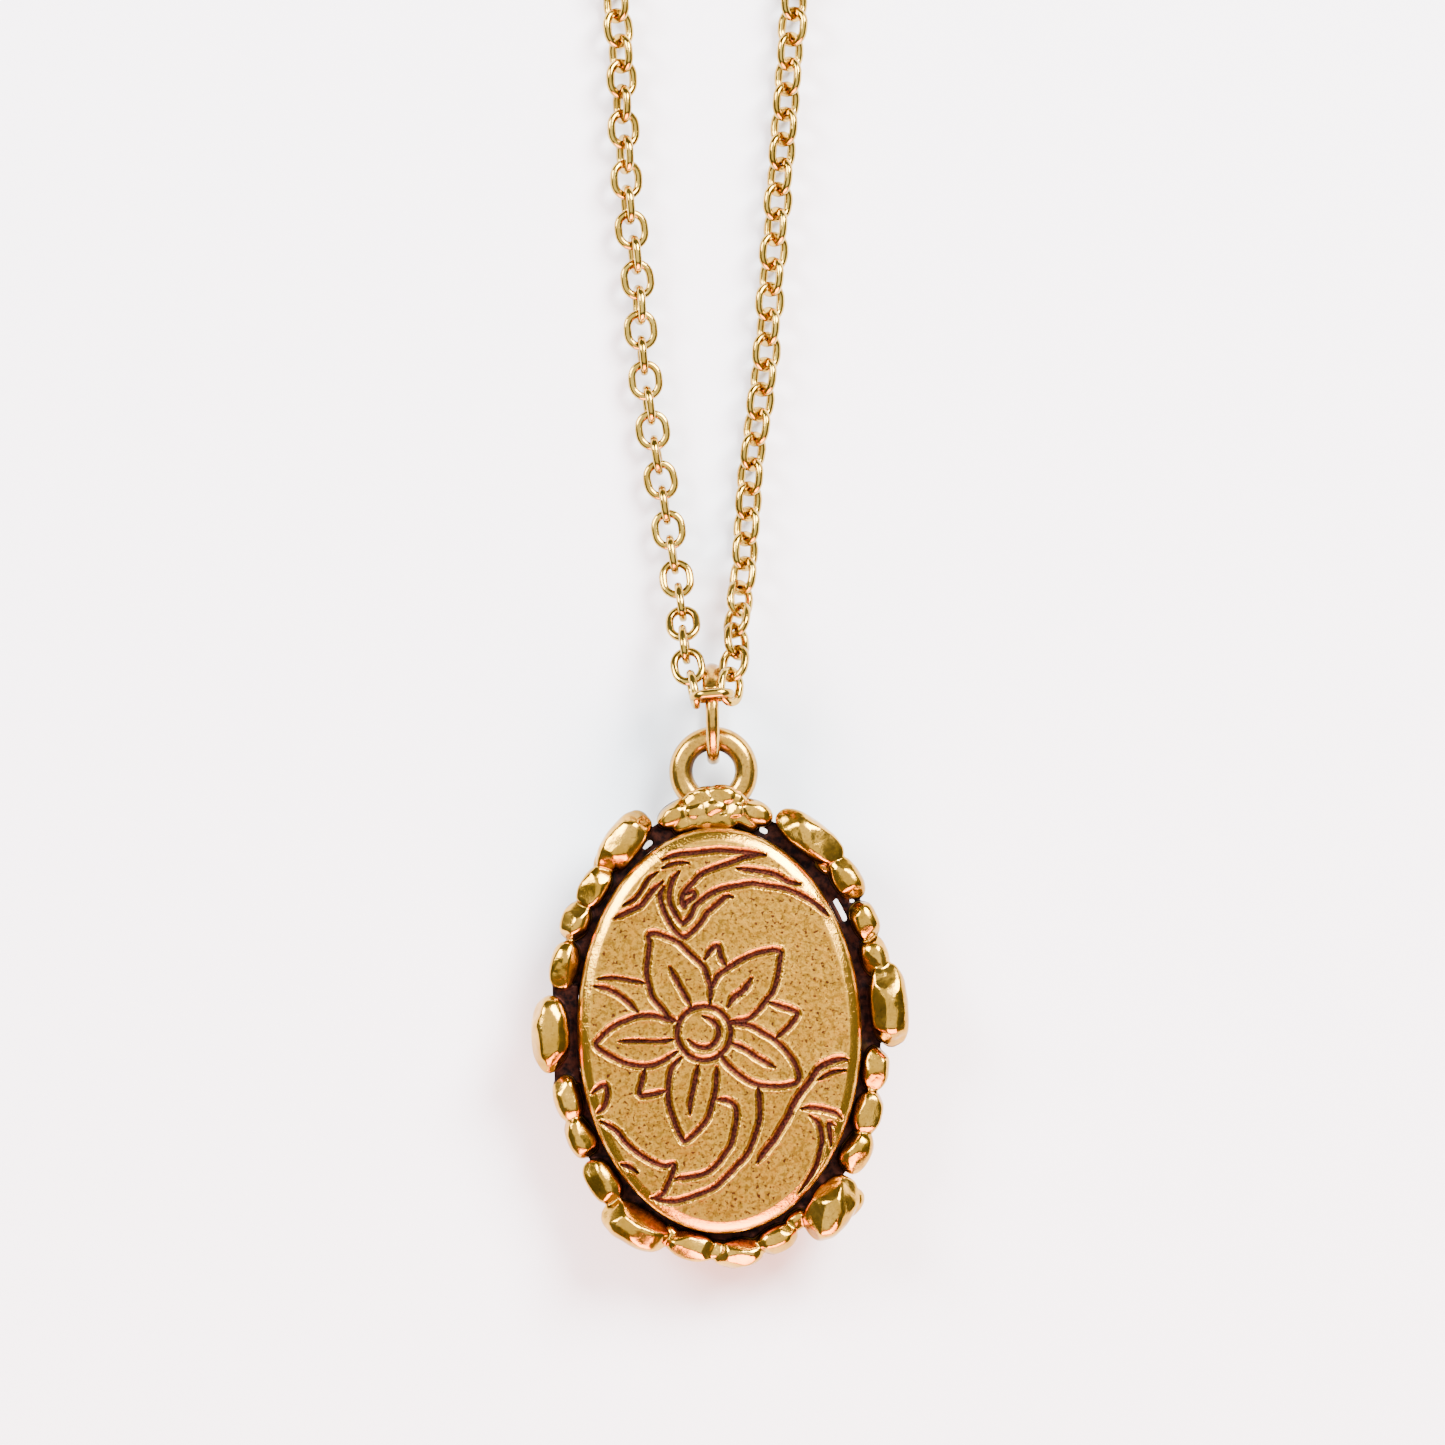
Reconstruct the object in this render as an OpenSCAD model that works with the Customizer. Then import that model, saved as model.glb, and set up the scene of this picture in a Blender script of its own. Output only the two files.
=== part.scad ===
// Pendant locket on a cable chain. It lies on its back: the face looks along +Z, the bail points along +Y,
// and the origin is the middle of the oval back, on the surface that it rests on. All sizes are in millimetres.

/* [Case] */
// Half of the oval case's width
case_a = 7.95; // [7:0.05:11]
// Half of the oval case's height
case_b = 11.35; // [9:0.05:15]
// Sheet thickness of the two shells
shell_wall = 0.45; // [0.35:0.05:0.6]
// Depth of the back shell, from its flat back to the seam
back_depth = 2.8; // [2.5:0.1:4]
// Depth of the front shell, from the seam to the crown of its face
front_depth = 2.6; // [2.5:0.1:4]
// Width of the bevel round the raised face
bevel_w = 0.75; // [0.4:0.05:1.1]
// Height of that bevel
bevel_h = 0.7; // [0.4:0.05:0.9]
// Rise of the face between its bevel and its middle
crown = 0.25; // [0.1:0.05:0.4]
// Chamfer round the flat back
back_edge = 0.4; // [0.2:0.05:0.5]

/* [Lip band and pictures] */
// Wall of the band that the cover closes over
band_wall = 0.35; // [0.25:0.05:0.5]
// Height of the band above the seam
lip_h = 0.5; // [0.3:0.05:0.6]
// Gap between the band and the front shell
lip_gap = 0.05; // [0.03:0.01:0.1]
// Thickness of each picture card
card_t = 0.2; // [0.1:0.05:0.3]
// Thickness of each clear window
window_t = 0.25; // [0.15:0.05:0.3]
// Depth of each picture frame
frame_h = 0.8; // [0.5:0.05:0.9]
// How far the picture opening lies inside the case outline
opening_inset = 2; // [1.6:0.05:3]

/* [Nugget border] */
// Thickness of the web that carries the nuggets
web_t = 0.5; // [0.4:0.05:0.8]
// Width of the web outside the case
web_w = 1.2; // [0.8:0.05:1.6]
// Height of the web above the seam
web_rise = 0.45; // [0.4:0.05:0.7]

/* [Hinge and catch] */
// Diameter of the hinge pin
pin_d = 0.7; // [0.5:0.05:0.9]
// Radial clearance of the pin in its knuckles
pin_gap = 0.02; // [0.01:0.01:0.05]
// Wall of a hinge knuckle
knuckle_wall = 0.33; // [0.25:0.01:0.4]
// Length of one of the three knuckles
knuckle_l = 1.2; // [1:0.05:1.5]
// Distance from the case wall to the hinge axis
hinge_out = 1.35; // [1.25:0.05:1.6]
// Length of the fingernail notch
notch_l = 3; // [2:0.1:4]
// Height of the fingernail notch
notch_h = 0.35; // [0.2:0.05:0.6]

/* [Bail and jump ring] */
// Wire of the bail
bail_wire = 1.28; // [0.8:0.02:1.4]
// Hole of the bail
bail_hole = 2.36; // [2.2:0.02:3]
// Wire of the jump ring
ring_wire = 0.74; // [0.5:0.02:0.8]
// Outside diameter of the jump ring
ring_od = 5.7; // [5.2:0.1:7]

/* [Chain] */
// Outside width of a chain link, and of the strand
chain_d = 2; // [1.8:0.1:2.2]
// Wire of a chain link
chain_wire = 0.44; // [0.36:0.02:0.5]
// Outside length of the link that carries the jump ring
centre_link_l = 2.56; // [2.5:0.02:3]
// Radius of the widest fold of each hank
hank_r = 6; // [6:0.1:8]
// Length of a hank's straight runs
hank_l = 31.5; // [26:0.5:36]
// Width of the tie round the hanks
tie_w = 3; // [2:0.5:5]

/* [Clasp] */
// Thickness of the clasp
clasp_t = 1.8; // [1.6:0.1:2.4]
// Outer radius of the clasp's hook
hook_r = 2.6; // [2.3:0.1:3]
// Wire of the ring on the clasp
clasp_ring_wire = 0.6; // [0.5:0.05:0.7]
// Outside diameter of the ring at the other end
end_ring_od = 4.5; // [4:0.1:5.5]

/* [Hidden] */
$fn = 96;

GOLD = [0.80, 0.62, 0.30];
BRIGHT_GOLD = [0.88, 0.70, 0.36];
DARK_GOLD = [0.55, 0.40, 0.18];
STEEL = [0.70, 0.70, 0.72];
CLEAR = [0.85, 0.90, 0.92, 0.4];
CARD = [0.93, 0.90, 0.82];

// Heights
seam = back_depth;
top = seam + front_depth;
rim_z = top - crown;                  // where the bevel meets the face
ceiling = rim_z - shell_wall;         // inside of the front shell
solder = 0.2;                         // how deep soldered pieces reach into the wall they are fixed to
cut = 1;                              // how far cutting shapes run past what they cut
notch_in = 0.6 * shell_wall;          // how deep the fingernail notch cuts into the wall
snap_gap = 0.03;                      // gap round the pressed-in picture frames
loose_gap = 0.1;                      // gap round the cards and windows

// How far each ring of the case lies inside its outline
band_out = shell_wall + lip_gap;
band_in = band_out + band_wall;
bead_d = 0.4;                         // the bead that the cover snaps over
bead_in = 0.15;                       // how far the bead's stem shows inside the band

// Hinge
pin_r = pin_d / 2;
knuckle_r = pin_r + pin_gap + knuckle_wall;
hinge_x = -case_a - hinge_out;
knuckle_gap = 0.05;                   // between neighbouring knuckles, and from each leaf to the seam
leaf_t = 0.6;
head_r = 0.55;
head_t = 0.15;

// Web and nuggets
web_z = seam + web_rise;
hinge_side_gap = 0.25;                // between the pin's heads and the web beside them
bridge_z = seam + knuckle_r + 0.1;    // underside of what passes over the hinge
bridge_end = 0.6;                     // how far the bridge laps the web at each end

// Each nugget: angle round the oval, distance outside it, length, width, turn from the oval's own direction
NUGGETS = [
    [104, 1.2, 1.7, 1.2, 10], [97, 1.05, 1.3, 1.1, 0], [90, 1.05, 1.3, 1.2, 0], [83, 1.05, 1.3, 1.1, 0],
    [76, 1.2, 1.7, 1.2, -10], [123, 1.4, 3.4, 1.8, 10], [139, 1.1, 2.1, 1.4, 0], [150, 1.2, 1.8, 1.5, 0],
    [162, 1.1, 2.1, 1.4, 0], [197, 1.0, 2.1, 1.5, 0], [208, 1.0, 2.0, 1.5, 0], [222, 1.1, 2.2, 1.6, 0],
    [238, 1.4, 3.4, 2.1, 10], [258, 0.95, 2.2, 1.5, 0], [275, 1.2, 2.2, 1.5, 0], [289, 1.1, 1.8, 1.4, 0],
    [309, 1.6, 3.4, 2.1, 8], [326, 1.1, 2.0, 1.6, 0], [337, 0.95, 2.0, 1.5, 0], [349, 0.9, 2.0, 1.4, 0],
    [5, 1.6, 4.0, 1.8, 0], [18, 1.3, 1.9, 1.4, 0], [28, 1.4, 1.8, 1.4, 0], [40, 1.6, 2.3, 1.5, 0],
    [56, 1.6, 3.8, 1.5, 4]];
HINGE_NUGGET = [180, 1.55, 3.7, 1.7, 0];
// Small openings in the web: angle round the oval, distance outside it, length
SLOTS = [[34, 0.45, 1.3], [117, 0.4, 0.7], [71, 0.45, 0.5]];
slot_w = 0.25;

// Bail
bail_r = bail_wire / 2;
bail_R = bail_hole / 2 + bail_r;
bail_gap = 0.69;                      // from the case wall to the bail, which the neck spans
bail_y = case_b + bail_gap + bail_r + bail_R;
bail_z = seam - 0.3;
neck_r = 0.45;
neck_z = seam - neck_r - 0.05;

// Jump ring, standing in the YZ plane on the surface and hanging in the bail
ring_r = ring_wire / 2;
ring_R = ring_od / 2 - ring_r;
ring_z = ring_od / 2;
touch = 0.03;                         // clearance where rings hang in each other
bail_to_ring = ring_R - ring_r - bail_r - touch;
bail_pivot = [0, bail_y + bail_R, bail_z];
ring_c = [0, bail_pivot[1] + sqrt(bail_to_ring * bail_to_ring - (ring_z - bail_z) * (ring_z - bail_z)), ring_z];

// Link that the jump ring hangs on
link_r = chain_wire / 2;
link_half_w = chain_d / 2 - link_r;
ring_angle = 62;                      // where the link sits on the jump ring, up from +Y
link_tilt = 80;                       // slope of the link's own plane, up from +Y
link_pivot = ring_c + (ring_R - ring_r - link_r - touch) * [0, cos(ring_angle), sin(ring_angle)];
link_c = link_pivot + link_half_w * [0, cos(link_tilt), sin(link_tilt)];

// Chain strands, from beside the centre link to the hanks. They come down to the surface and lie on it.
LEFT_ROUTE = [[-1.4, 21, 3.9], [-1.5, 22.4, 3], [-1.6, 23.7, 2.2], [-1.8, 25.1, 1.6], [-2, 26.5, 1.3],
              [-2.4, 29.4, 1.1], [-2.8, 32.4, 1.05], [-3.2, 35.3, 1.05], [-3.5, 38.4, 1.05],
              [-3.6, 41.2, 1.05], [-3.8, 44, 1.05], [-4.1, 46.5, 1.05], [-4.2, 49.3, 1.05],
              [-4.3, 52.1, 1.05], [-4.3, 54.9, 1.05], [-4.5, 57.7, 1.05], [-4.3, 60, 1.05],
              [-3.5, 62.3, 1.05], [-2.4, 64.3, 1.1], [-1.5, 66.2, 1.15], [-1.25, 68, 1.2],
              [-1.25, 69.5, 1.2]];
RIGHT_ROUTE = [[1.4, 21.3, 3.7], [1.5, 22.9, 2.7], [1.7, 24.2, 1.9], [1.9, 25.4, 1.5], [2.2, 28.5, 1.1],
               [2.5, 31.6, 1.05], [3, 34.6, 1.05], [3.5, 38, 1.05], [3.8, 41.3, 1.05], [4.2, 45.2, 1.05],
               [4.5, 48, 1.05], [4.8, 50.8, 1.05], [5.2, 54.7, 1.05], [5.5, 57.5, 1.05],
               [5.3, 59.8, 1.05], [4.4, 61.9, 1.05], [3, 63.9, 1.1], [1.8, 65.9, 1.15],
               [1.25, 68, 1.2], [1.25, 69.5, 1.2]];

// The rest of each strand is folded into a flat hank, wound inwards. x is given for the right one.
hank_start = RIGHT_ROUTE[len(RIGHT_ROUTE) - 1];
hank_x = hank_start[0];
hank_y = hank_start[1];
lie_z = hank_start[2];
hank_pitch = 1.05 * chain_d;
low_fold_r = hank_r - hank_pitch / 2;
inner_fold_r = hank_r - hank_pitch;
low_fold_x = hank_x + 2 * hank_r - low_fold_r;
hank_top = hank_y + hank_l;
drift_y = [4, 18];                    // how far below the last fold the strand drifts to the middle
strand_end = [low_fold_x, hank_y + 7.8, lie_z];

function fold(x, y, r, a0, a1) =
    [for (i = [0 : 10]) let (a = a0 + (a1 - a0) * i / 10) [x + r * cos(a), y + r * sin(a), lie_z]];
HANK = concat(
    [hank_start],
    fold(hank_x + hank_r, hank_top, hank_r, 180, 0),
    fold(low_fold_x, hank_y, low_fold_r, 0, -180),
    fold(hank_x + hank_pitch + inner_fold_r, hank_top, inner_fold_r, 180, 0),
    [for (i = [0 : 6]) let (shift = hank_x + hank_pitch + 2 * inner_fold_r - low_fold_x)
        [low_fold_x + shift * (1 + cos(30 * i)) / 2,
         hank_top - drift_y[0] - (drift_y[1] - drift_y[0]) * i / 6, lie_z]],
    [strand_end]);
tie_wall = 0.12;
tie_gap = 0.03;                       // between the tie and the strands
tie_y = hank_y + hank_l / 2 + 6;

// Clasp, in its own frame: +Y from its tail to its hook
eye_y = 1.5;
eye_r = 0.7;
tongue_t = 0.6;
tongue_l = 2.6;
hook_y = 7.6;
hook_hole_r = 1.45;
lever_pivot = [-0.7, 4.4];
mouth_y = 5.6;                        // the mouth that the lever's gate closes
mouth_l = 2.6;
slot_t = 1;                           // slot that the lever turns in
lever_slot = [1.25, 2.25];            // how far that slot reaches below and above the lever's pivot
lever_t = 0.86;
clasp_pin_r = 0.3;
boss_r = 0.8;
spring_r = 0.4;
spring_wire = 0.12;
spring_z = clasp_t / 2;
spring_x = -0.1;
spring_y = [2.45, 3.3];
spring_gap = 0.05;                    // between the spring and its pocket
clasp_ring_r = clasp_ring_wire / 2;
clasp_ring_R = 1.2;
end_ring_r = 0.35;
end_ring_R = end_ring_od / 2 - end_ring_r;
link_reach = 1.25;                    // from the middle of the last link to the clasp's tail
end_ring_near = 0.55;                 // from the middle of the last link to the ring's near side
end_ring_lift = 0.6;                  // how much higher that side is than the far one
end_ring_tilt = asin(end_ring_lift / (2 * end_ring_R));

// ---- shared shapes ----

function on_oval(angle, out) = [(case_a + out) * cos(angle), (case_b + out) * sin(angle)];
function oval_heading(angle, out) = atan2((case_b + out) * cos(angle), -(case_a + out) * sin(angle));

// An oval slab that follows the case outline, inset from it, between two heights
module oval_slab(inset, z0, z1)
    translate([0, 0, z0])
        scale([1, (case_b - inset) / (case_a - inset), 1])
            cylinder(r = case_a - inset, h = z1 - z0);

// An oval body with this profile, whose radii are given for the narrow side
module oval_turned(inset, profile)
    scale([1, (case_b - inset) / (case_a - inset), 1])
        rotate_extrude()
            polygon(profile);

module torus(big_r, small_r)
    rotate_extrude()
        translate([big_r, 0])
            circle(r = small_r, $fn = 48);

// A cylinder along Y between two places
module rod_y(x, z, y0, y1, r)
    translate([x, y0, z])
        rotate([-90, 0, 0])
            cylinder(r = r, h = y1 - y0);

module oval_ring(inset_out, inset_in, z0, z1)
    difference() {
        oval_slab(inset_out, z0, z1);
        oval_slab(inset_in, z0 - cut, z1 + cut);
    }

function unit(v) = v / norm(v);
function heading(points, i) =
    unit(points[min(i + 1, len(points) - 1)] - points[max(i - 1, 0)]);

// A tube swept along points, with flat ends
module swept_tube(points, r, sides = 8) {
    rings = [for (i = [0 : len(points) - 1])
        let (d = heading(points, i), side = unit(cross(d, [0, 0, 1])), up = cross(side, d))
        for (k = [0 : sides - 1])
            let (a = 360 * (k + 0.5) / sides)
            points[i] + r * (cos(a) * side + sin(a) * up)];
    last = (len(points) - 1) * sides;
    walls = [for (i = [0 : len(points) - 2]) for (k = [0 : sides - 1])
        let (n = (k + 1) % sides)
        [i * sides + k, i * sides + n, (i + 1) * sides + n, (i + 1) * sides + k]];
    first_end = [[for (k = [sides - 1 : -1 : 0]) k]];
    last_end = [[for (k = [0 : sides - 1]) last + k]];
    polyhedron(rings, concat(walls, first_end, last_end));
}

// ---- cover ----

module front_cover()
    color(GOLD)
    difference() {
        oval_turned(0, concat(
            [[0, seam], [case_a, seam], [case_a, rim_z - bevel_h]],
            [for (i = [0 : 6]) let (r = (case_a - bevel_w) * (1 - i / 6), s = i / 6)
                [r, rim_z + crown * s * (2 - s)]]));
        oval_turned(shell_wall, [
            [0, seam - cut], [case_a - shell_wall, seam - cut], [case_a - shell_wall, rim_z - bevel_h],
            [case_a - shell_wall - bevel_w, ceiling], [0, ceiling]]);
    }

// A lump: two balls of the lump's width, blended
module nugget(n, z0) {
    place = on_oval(n[0], n[1]);
    reach = (n[2] - n[3]) / 2;
    translate([place[0], place[1], z0 + n[3] / 2])
        rotate(oval_heading(n[0], n[1]) + n[4])
            hull() {
                translate([reach, 0, 0]) sphere(d = n[3], $fn = 14);
                translate([-reach, 0, 0]) sphere(d = n[3], $fn = 14);
            }
}

module nugget_frame() {
    clear_y = 1.5 * knuckle_l + head_t + hinge_side_gap;
    color(DARK_GOLD) {
        difference() {
            oval_ring(-web_w, solder, web_z, web_z + web_t);
            translate([hinge_x - web_w, -clear_y, web_z - cut])
                cube([hinge_out + web_w + solder + cut, 2 * clear_y, web_t + 2 * cut]);
            for (s = SLOTS)
                translate(concat(on_oval(s[0], s[1]), [web_z - cut]))
                    rotate(oval_heading(s[0], s[1]))
                        translate([-s[2] / 2, -slot_w / 2, 0])
                            cube([s[2], slot_w, web_t + 2 * cut]);
        }
        translate([hinge_x, -clear_y - bridge_end, bridge_z])
            cube([hinge_out + solder, 2 * (clear_y + bridge_end), web_t]);
    }
    color(GOLD) {
        for (n = NUGGETS) nugget(n, web_z);
        nugget(HINGE_NUGGET, bridge_z);
    }
}

module knuckle(y0, y1)
    rod_y(hinge_x, seam, y0, y1, knuckle_r);

module leaf(y0, y1, z0)
    translate([hinge_x, y0, z0])
        cube([hinge_out + solder, y1 - y0, leaf_t]);

module pin_bore()
    rod_y(hinge_x, seam, -2 * knuckle_l, 2 * knuckle_l, pin_r + pin_gap);

module hinge_knuckle_front() {
    half = knuckle_l / 2 - knuckle_gap;
    color(GOLD)
    difference() {
        union() {
            knuckle(-half, half);
            leaf(-half, half, seam + knuckle_gap);
        }
        pin_bore();
    }
}

module photo_frame_front()
    color(GOLD)
    oval_ring(shell_wall + snap_gap, opening_inset,
              ceiling - card_t - window_t - frame_h, ceiling - card_t - window_t);

// An oval slab under the ceiling, inset from the inside of the front shell
module under_ceiling(inset, z0, z1)
    translate([0, 0, z0])
        scale([1, (case_b - shell_wall) / (case_a - shell_wall), 1])
            cylinder(r = case_a - shell_wall - inset, h = z1 - z0);

module window_front()
    color(CLEAR)
    under_ceiling(bevel_w / 2 + loose_gap, ceiling - card_t - window_t, ceiling - card_t);

module photo_card_front()
    color(CARD)
    under_ceiling(bevel_w + loose_gap, ceiling - card_t, ceiling);

// ---- case ----

module back_case()
    color(GOLD)
    difference() {
        oval_turned(0, [[0, 0], [case_a - back_edge, 0], [case_a, back_edge], [case_a, seam], [0, seam]]);
        oval_slab(shell_wall, shell_wall, seam + cut);
        // Fingernail notch, cut into the rim opposite the hinge
        translate([case_a - notch_in, -notch_l / 2, seam - notch_h])
            cube([cut, notch_l, cut]);
    }

module lip_band()
    color(GOLD)
    oval_ring(band_out, band_in, shell_wall, seam + lip_h);

module catch_bead()
    color(GOLD)
    translate([case_a - band_in - bead_in, 0, seam + lip_h / 2])
        rotate([0, 90, 0])
            cylinder(d = bead_d, h = band_wall + bead_in + lip_gap / 2);

module bail_ring()
    color(GOLD) {
        translate([0, bail_y, bail_z]) torus(bail_R, bail_r);
        rod_y(0, neck_z, case_b - solder, bail_y - bail_R, neck_r);
    }

module hinge_knuckles_back() {
    inner = knuckle_l / 2;
    outer = 1.5 * knuckle_l;
    color(GOLD)
    difference() {
        for (side = [-1, 1])
            mirror([0, side > 0 ? 0 : 1, 0]) {
                knuckle(inner, outer);
                leaf(inner, outer, seam - knuckle_gap - leaf_t);
            }
        pin_bore();
    }
}

module hinge_pin() {
    half = 1.5 * knuckle_l;
    color(STEEL) {
        rod_y(hinge_x, seam, -half - head_t, half + head_t, pin_r);
        rod_y(hinge_x, seam, half, half + head_t, head_r);
        rod_y(hinge_x, seam, -half - head_t, -half, head_r);
    }
}

module photo_frame_back()
    color(GOLD)
    oval_ring(band_in + snap_gap, opening_inset,
              shell_wall + card_t + window_t, shell_wall + card_t + window_t + frame_h);

module window_back()
    color(CLEAR)
    oval_slab(band_in + loose_gap, shell_wall + card_t, shell_wall + card_t + window_t);

module photo_card_back()
    color(CARD)
    oval_slab(band_in + loose_gap, shell_wall, shell_wall + card_t);

// ---- rings and chain ----

module jump_ring()
    color(BRIGHT_GOLD)
    translate(ring_c)
        rotate([0, 90, 0])
            torus(ring_R, ring_r);

// An oval link of round wire, long side along X, lying in the XY plane
module oval_link(length) {
    straight = length / 2 - chain_d / 2;
    for (side = [0, 1])
        mirror([side, 0, 0])
            translate([straight, 0, 0])
                rotate(-90)
                    rotate_extrude(angle = 180)
                        translate([link_half_w, 0])
                            circle(r = link_r, $fn = 32);
    for (y = [-link_half_w, link_half_w])
        translate([-straight, y, 0])
            rotate([0, 90, 0])
                cylinder(r = link_r, h = 2 * straight, $fn = 32);
}

module centre_link()
    color(BRIGHT_GOLD)
    translate(link_c)
        rotate([link_tilt, 0, 0])
            oval_link(centre_link_l);

module chain_left_run() color(BRIGHT_GOLD) swept_tube(LEFT_ROUTE, chain_d / 2);
module chain_right_run() color(BRIGHT_GOLD) swept_tube(RIGHT_ROUTE, chain_d / 2);
module chain_left_hank() color(BRIGHT_GOLD) mirror([1, 0, 0]) swept_tube(HANK, chain_d / 2);
module chain_right_hank() color(BRIGHT_GOLD) swept_tube(HANK, chain_d / 2);

// A flat bar with round edges, along Y, that holds all the runs of both hanks
module tie_bar(grow, l)
    translate([0, tie_y - l / 2, lie_z]) {
        half = hank_x + 2 * hank_r;
        r = chain_d / 2 + tie_gap + grow;
        for (x = [-half, half])
            rod_y(x, 0, 0, l, r);
        translate([-half, 0, -r])
            cube([2 * half, l, 2 * r]);
    }

module hank_tie()
    color(CARD)
    difference() {
        tie_bar(tie_wall, tie_w);
        tie_bar(0, tie_w + 2 * cut);
    }

// The end ring leans on the wire of the last link
module end_ring()
    color(BRIGHT_GOLD)
    translate([strand_end[0], strand_end[1], end_ring_r])
        rotate(-90)
            translate([end_ring_near + 2 * end_ring_R * cos(end_ring_tilt), 0, 0])
                rotate([0, end_ring_tilt, 0])
                    translate([-end_ring_R, 0, 0])
                        torus(end_ring_R, end_ring_r);

// ---- clasp ----

module at_clasp()
    translate([-strand_end[0], strand_end[1], 0])
        rotate(180)
            translate([0, link_reach, 0])
                children();

module clasp_ring()
    color(BRIGHT_GOLD)
    at_clasp()
        translate([0, (eye_y - eye_r) / 2, clasp_ring_R + clasp_ring_r])
            rotate([0, 90, 0])
                torus(clasp_ring_R, clasp_ring_r);

module clasp_body()
    color(BRIGHT_GOLD)
    at_clasp()
    difference() {
        linear_extrude(clasp_t)
            difference() {
                union() {
                    translate([0, eye_y]) circle(r = eye_y);
                    polygon([[-eye_y, eye_y], [eye_y, eye_y], [hook_r, hook_y], [-1.3, hook_y - 1.4],
                             [-1.9, 5.4]]);
                    translate([0, hook_y]) circle(r = hook_r);
                }
                translate([0, eye_y]) circle(r = eye_r);
                translate([0, hook_y]) circle(r = hook_hole_r);
                translate([-hook_r - cut, mouth_y]) square([hook_r + 0.1, mouth_l]);
            }
        // The tail is thinned from both sides for its ring
        for (z = [-cut, (clasp_t + tongue_t) / 2])
            translate([-eye_y - cut, -cut, z])
                cube([2 * (eye_y + cut), tongue_l + cut, cut + (clasp_t - tongue_t) / 2]);
        // Slot for the lever
        translate([-hook_r - cut, lever_pivot[1] - lever_slot[0], (clasp_t - slot_t) / 2])
            cube([hook_r + cut + 0.5, lever_slot[0] + lever_slot[1], slot_t]);
        rod_y(spring_x, spring_z, spring_y[0] - spring_gap, spring_y[1], spring_r + spring_gap);
        translate([lever_pivot[0], lever_pivot[1], -cut])
            cylinder(r = clasp_pin_r, h = clasp_t + 2 * cut);
    }

module clasp_pin()
    color(STEEL)
    at_clasp()
    translate([lever_pivot[0], lever_pivot[1], 0])
        cylinder(r = clasp_pin_r, h = clasp_t);

module clasp_spring()
    color(STEEL)
    at_clasp()
    difference() {
        rod_y(spring_x, spring_z, spring_y[0], spring_y[1], spring_r);
        rod_y(spring_x, spring_z, spring_y[0] - cut, spring_y[1] + cut, spring_r - spring_wire);
    }

module clasp_lever()
    color(BRIGHT_GOLD)
    at_clasp()
    translate([0, 0, (clasp_t - lever_t) / 2])
    difference() {
        linear_extrude(lever_t) {
            translate(lever_pivot) circle(r = boss_r);
            // Gate
            polygon([[-1.4, 4.6], [0, 4.6], [-1.45, 7.8], [-2.35, 7.8], [-2.1, 5.8]]);
            // Foot on the spring
            polygon([[-0.7, 3.7], [-0.35, spring_y[1]], [0.1, spring_y[1]], [0.05, 4.4], [-0.7, 4.4]]);
            // Thumb nub
            polygon([[-1.2, 5.1], [-2.9, 4.7], [-3.1, 4.1], [-2.6, 3.8], [-1.2, 4.1]]);
        }
        translate([lever_pivot[0], lever_pivot[1], -cut])
            cylinder(r = clasp_pin_r + pin_gap, h = lever_t + 2 * cut);
    }

front_cover();
nugget_frame();
hinge_knuckle_front();
photo_frame_front();
window_front();
photo_card_front();
back_case();
lip_band();
catch_bead();
bail_ring();
hinge_knuckles_back();
hinge_pin();
photo_frame_back();
window_back();
photo_card_back();
jump_ring();
centre_link();
chain_left_run();
chain_left_hank();
chain_right_run();
chain_right_hank();
hank_tie();
clasp_ring();
clasp_body();
clasp_pin();
clasp_spring();
clasp_lever();
end_ring();
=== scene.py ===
# %% [markdown]
# # A gold locket on its cable chain
# This notebook dresses a locket that was already worked out as a mechanical part: an oval case
# with an engraved face, a border of gold nuggets, a bail, a jump ring and a fine chain with a
# lobster clasp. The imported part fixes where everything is. Each cell below makes one piece or
# one finish, says how it could be made, and prints what it measured.
#
# Sizes are written in millimetres, as a jeweller would, and turned into metres on the way in.

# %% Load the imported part
import math

import bmesh
import bpy
import numpy as np
from mathutils import Matrix, Vector, noise


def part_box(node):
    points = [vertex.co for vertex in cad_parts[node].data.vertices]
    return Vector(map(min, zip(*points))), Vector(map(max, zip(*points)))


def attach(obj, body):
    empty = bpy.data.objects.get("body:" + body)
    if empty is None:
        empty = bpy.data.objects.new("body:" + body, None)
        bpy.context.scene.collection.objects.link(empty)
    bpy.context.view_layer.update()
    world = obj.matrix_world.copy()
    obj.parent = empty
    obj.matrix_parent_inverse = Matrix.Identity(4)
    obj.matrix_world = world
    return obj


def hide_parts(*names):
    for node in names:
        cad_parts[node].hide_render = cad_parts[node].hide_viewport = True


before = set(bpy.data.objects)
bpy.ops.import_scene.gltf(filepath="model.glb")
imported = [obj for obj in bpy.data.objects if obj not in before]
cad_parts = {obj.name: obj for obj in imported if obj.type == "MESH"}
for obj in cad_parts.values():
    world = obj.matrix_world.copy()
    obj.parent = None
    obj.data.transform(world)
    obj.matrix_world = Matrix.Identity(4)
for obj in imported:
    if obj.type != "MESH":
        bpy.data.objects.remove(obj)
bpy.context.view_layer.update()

MM = 0.001
print("CAD nodes:", len(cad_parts))

# %% [markdown]
# ## The camera
# The locket lies on its back and is seen from straight above, so the camera looks down the Z
# axis. A long lens from half a metre keeps the perspective weak, as in close product work. The
# camera is rolled by about a degree because the necklace lies a little askew in the frame.

# %% The camera
VIEW_CENTRE = (0.56, 17.22)      # what the middle of the frame looks at
VIEW_WIDTH = 80.7                # how much is in view at the height of the face
FACE_HEIGHT = 5.2
CAMERA_ABOVE = 500.0
SENSOR = 36.0
CAMERA_ROLL = 1.3                # degrees
FAR_CLIP = 5.0                   # metres, past everything in the room


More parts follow.
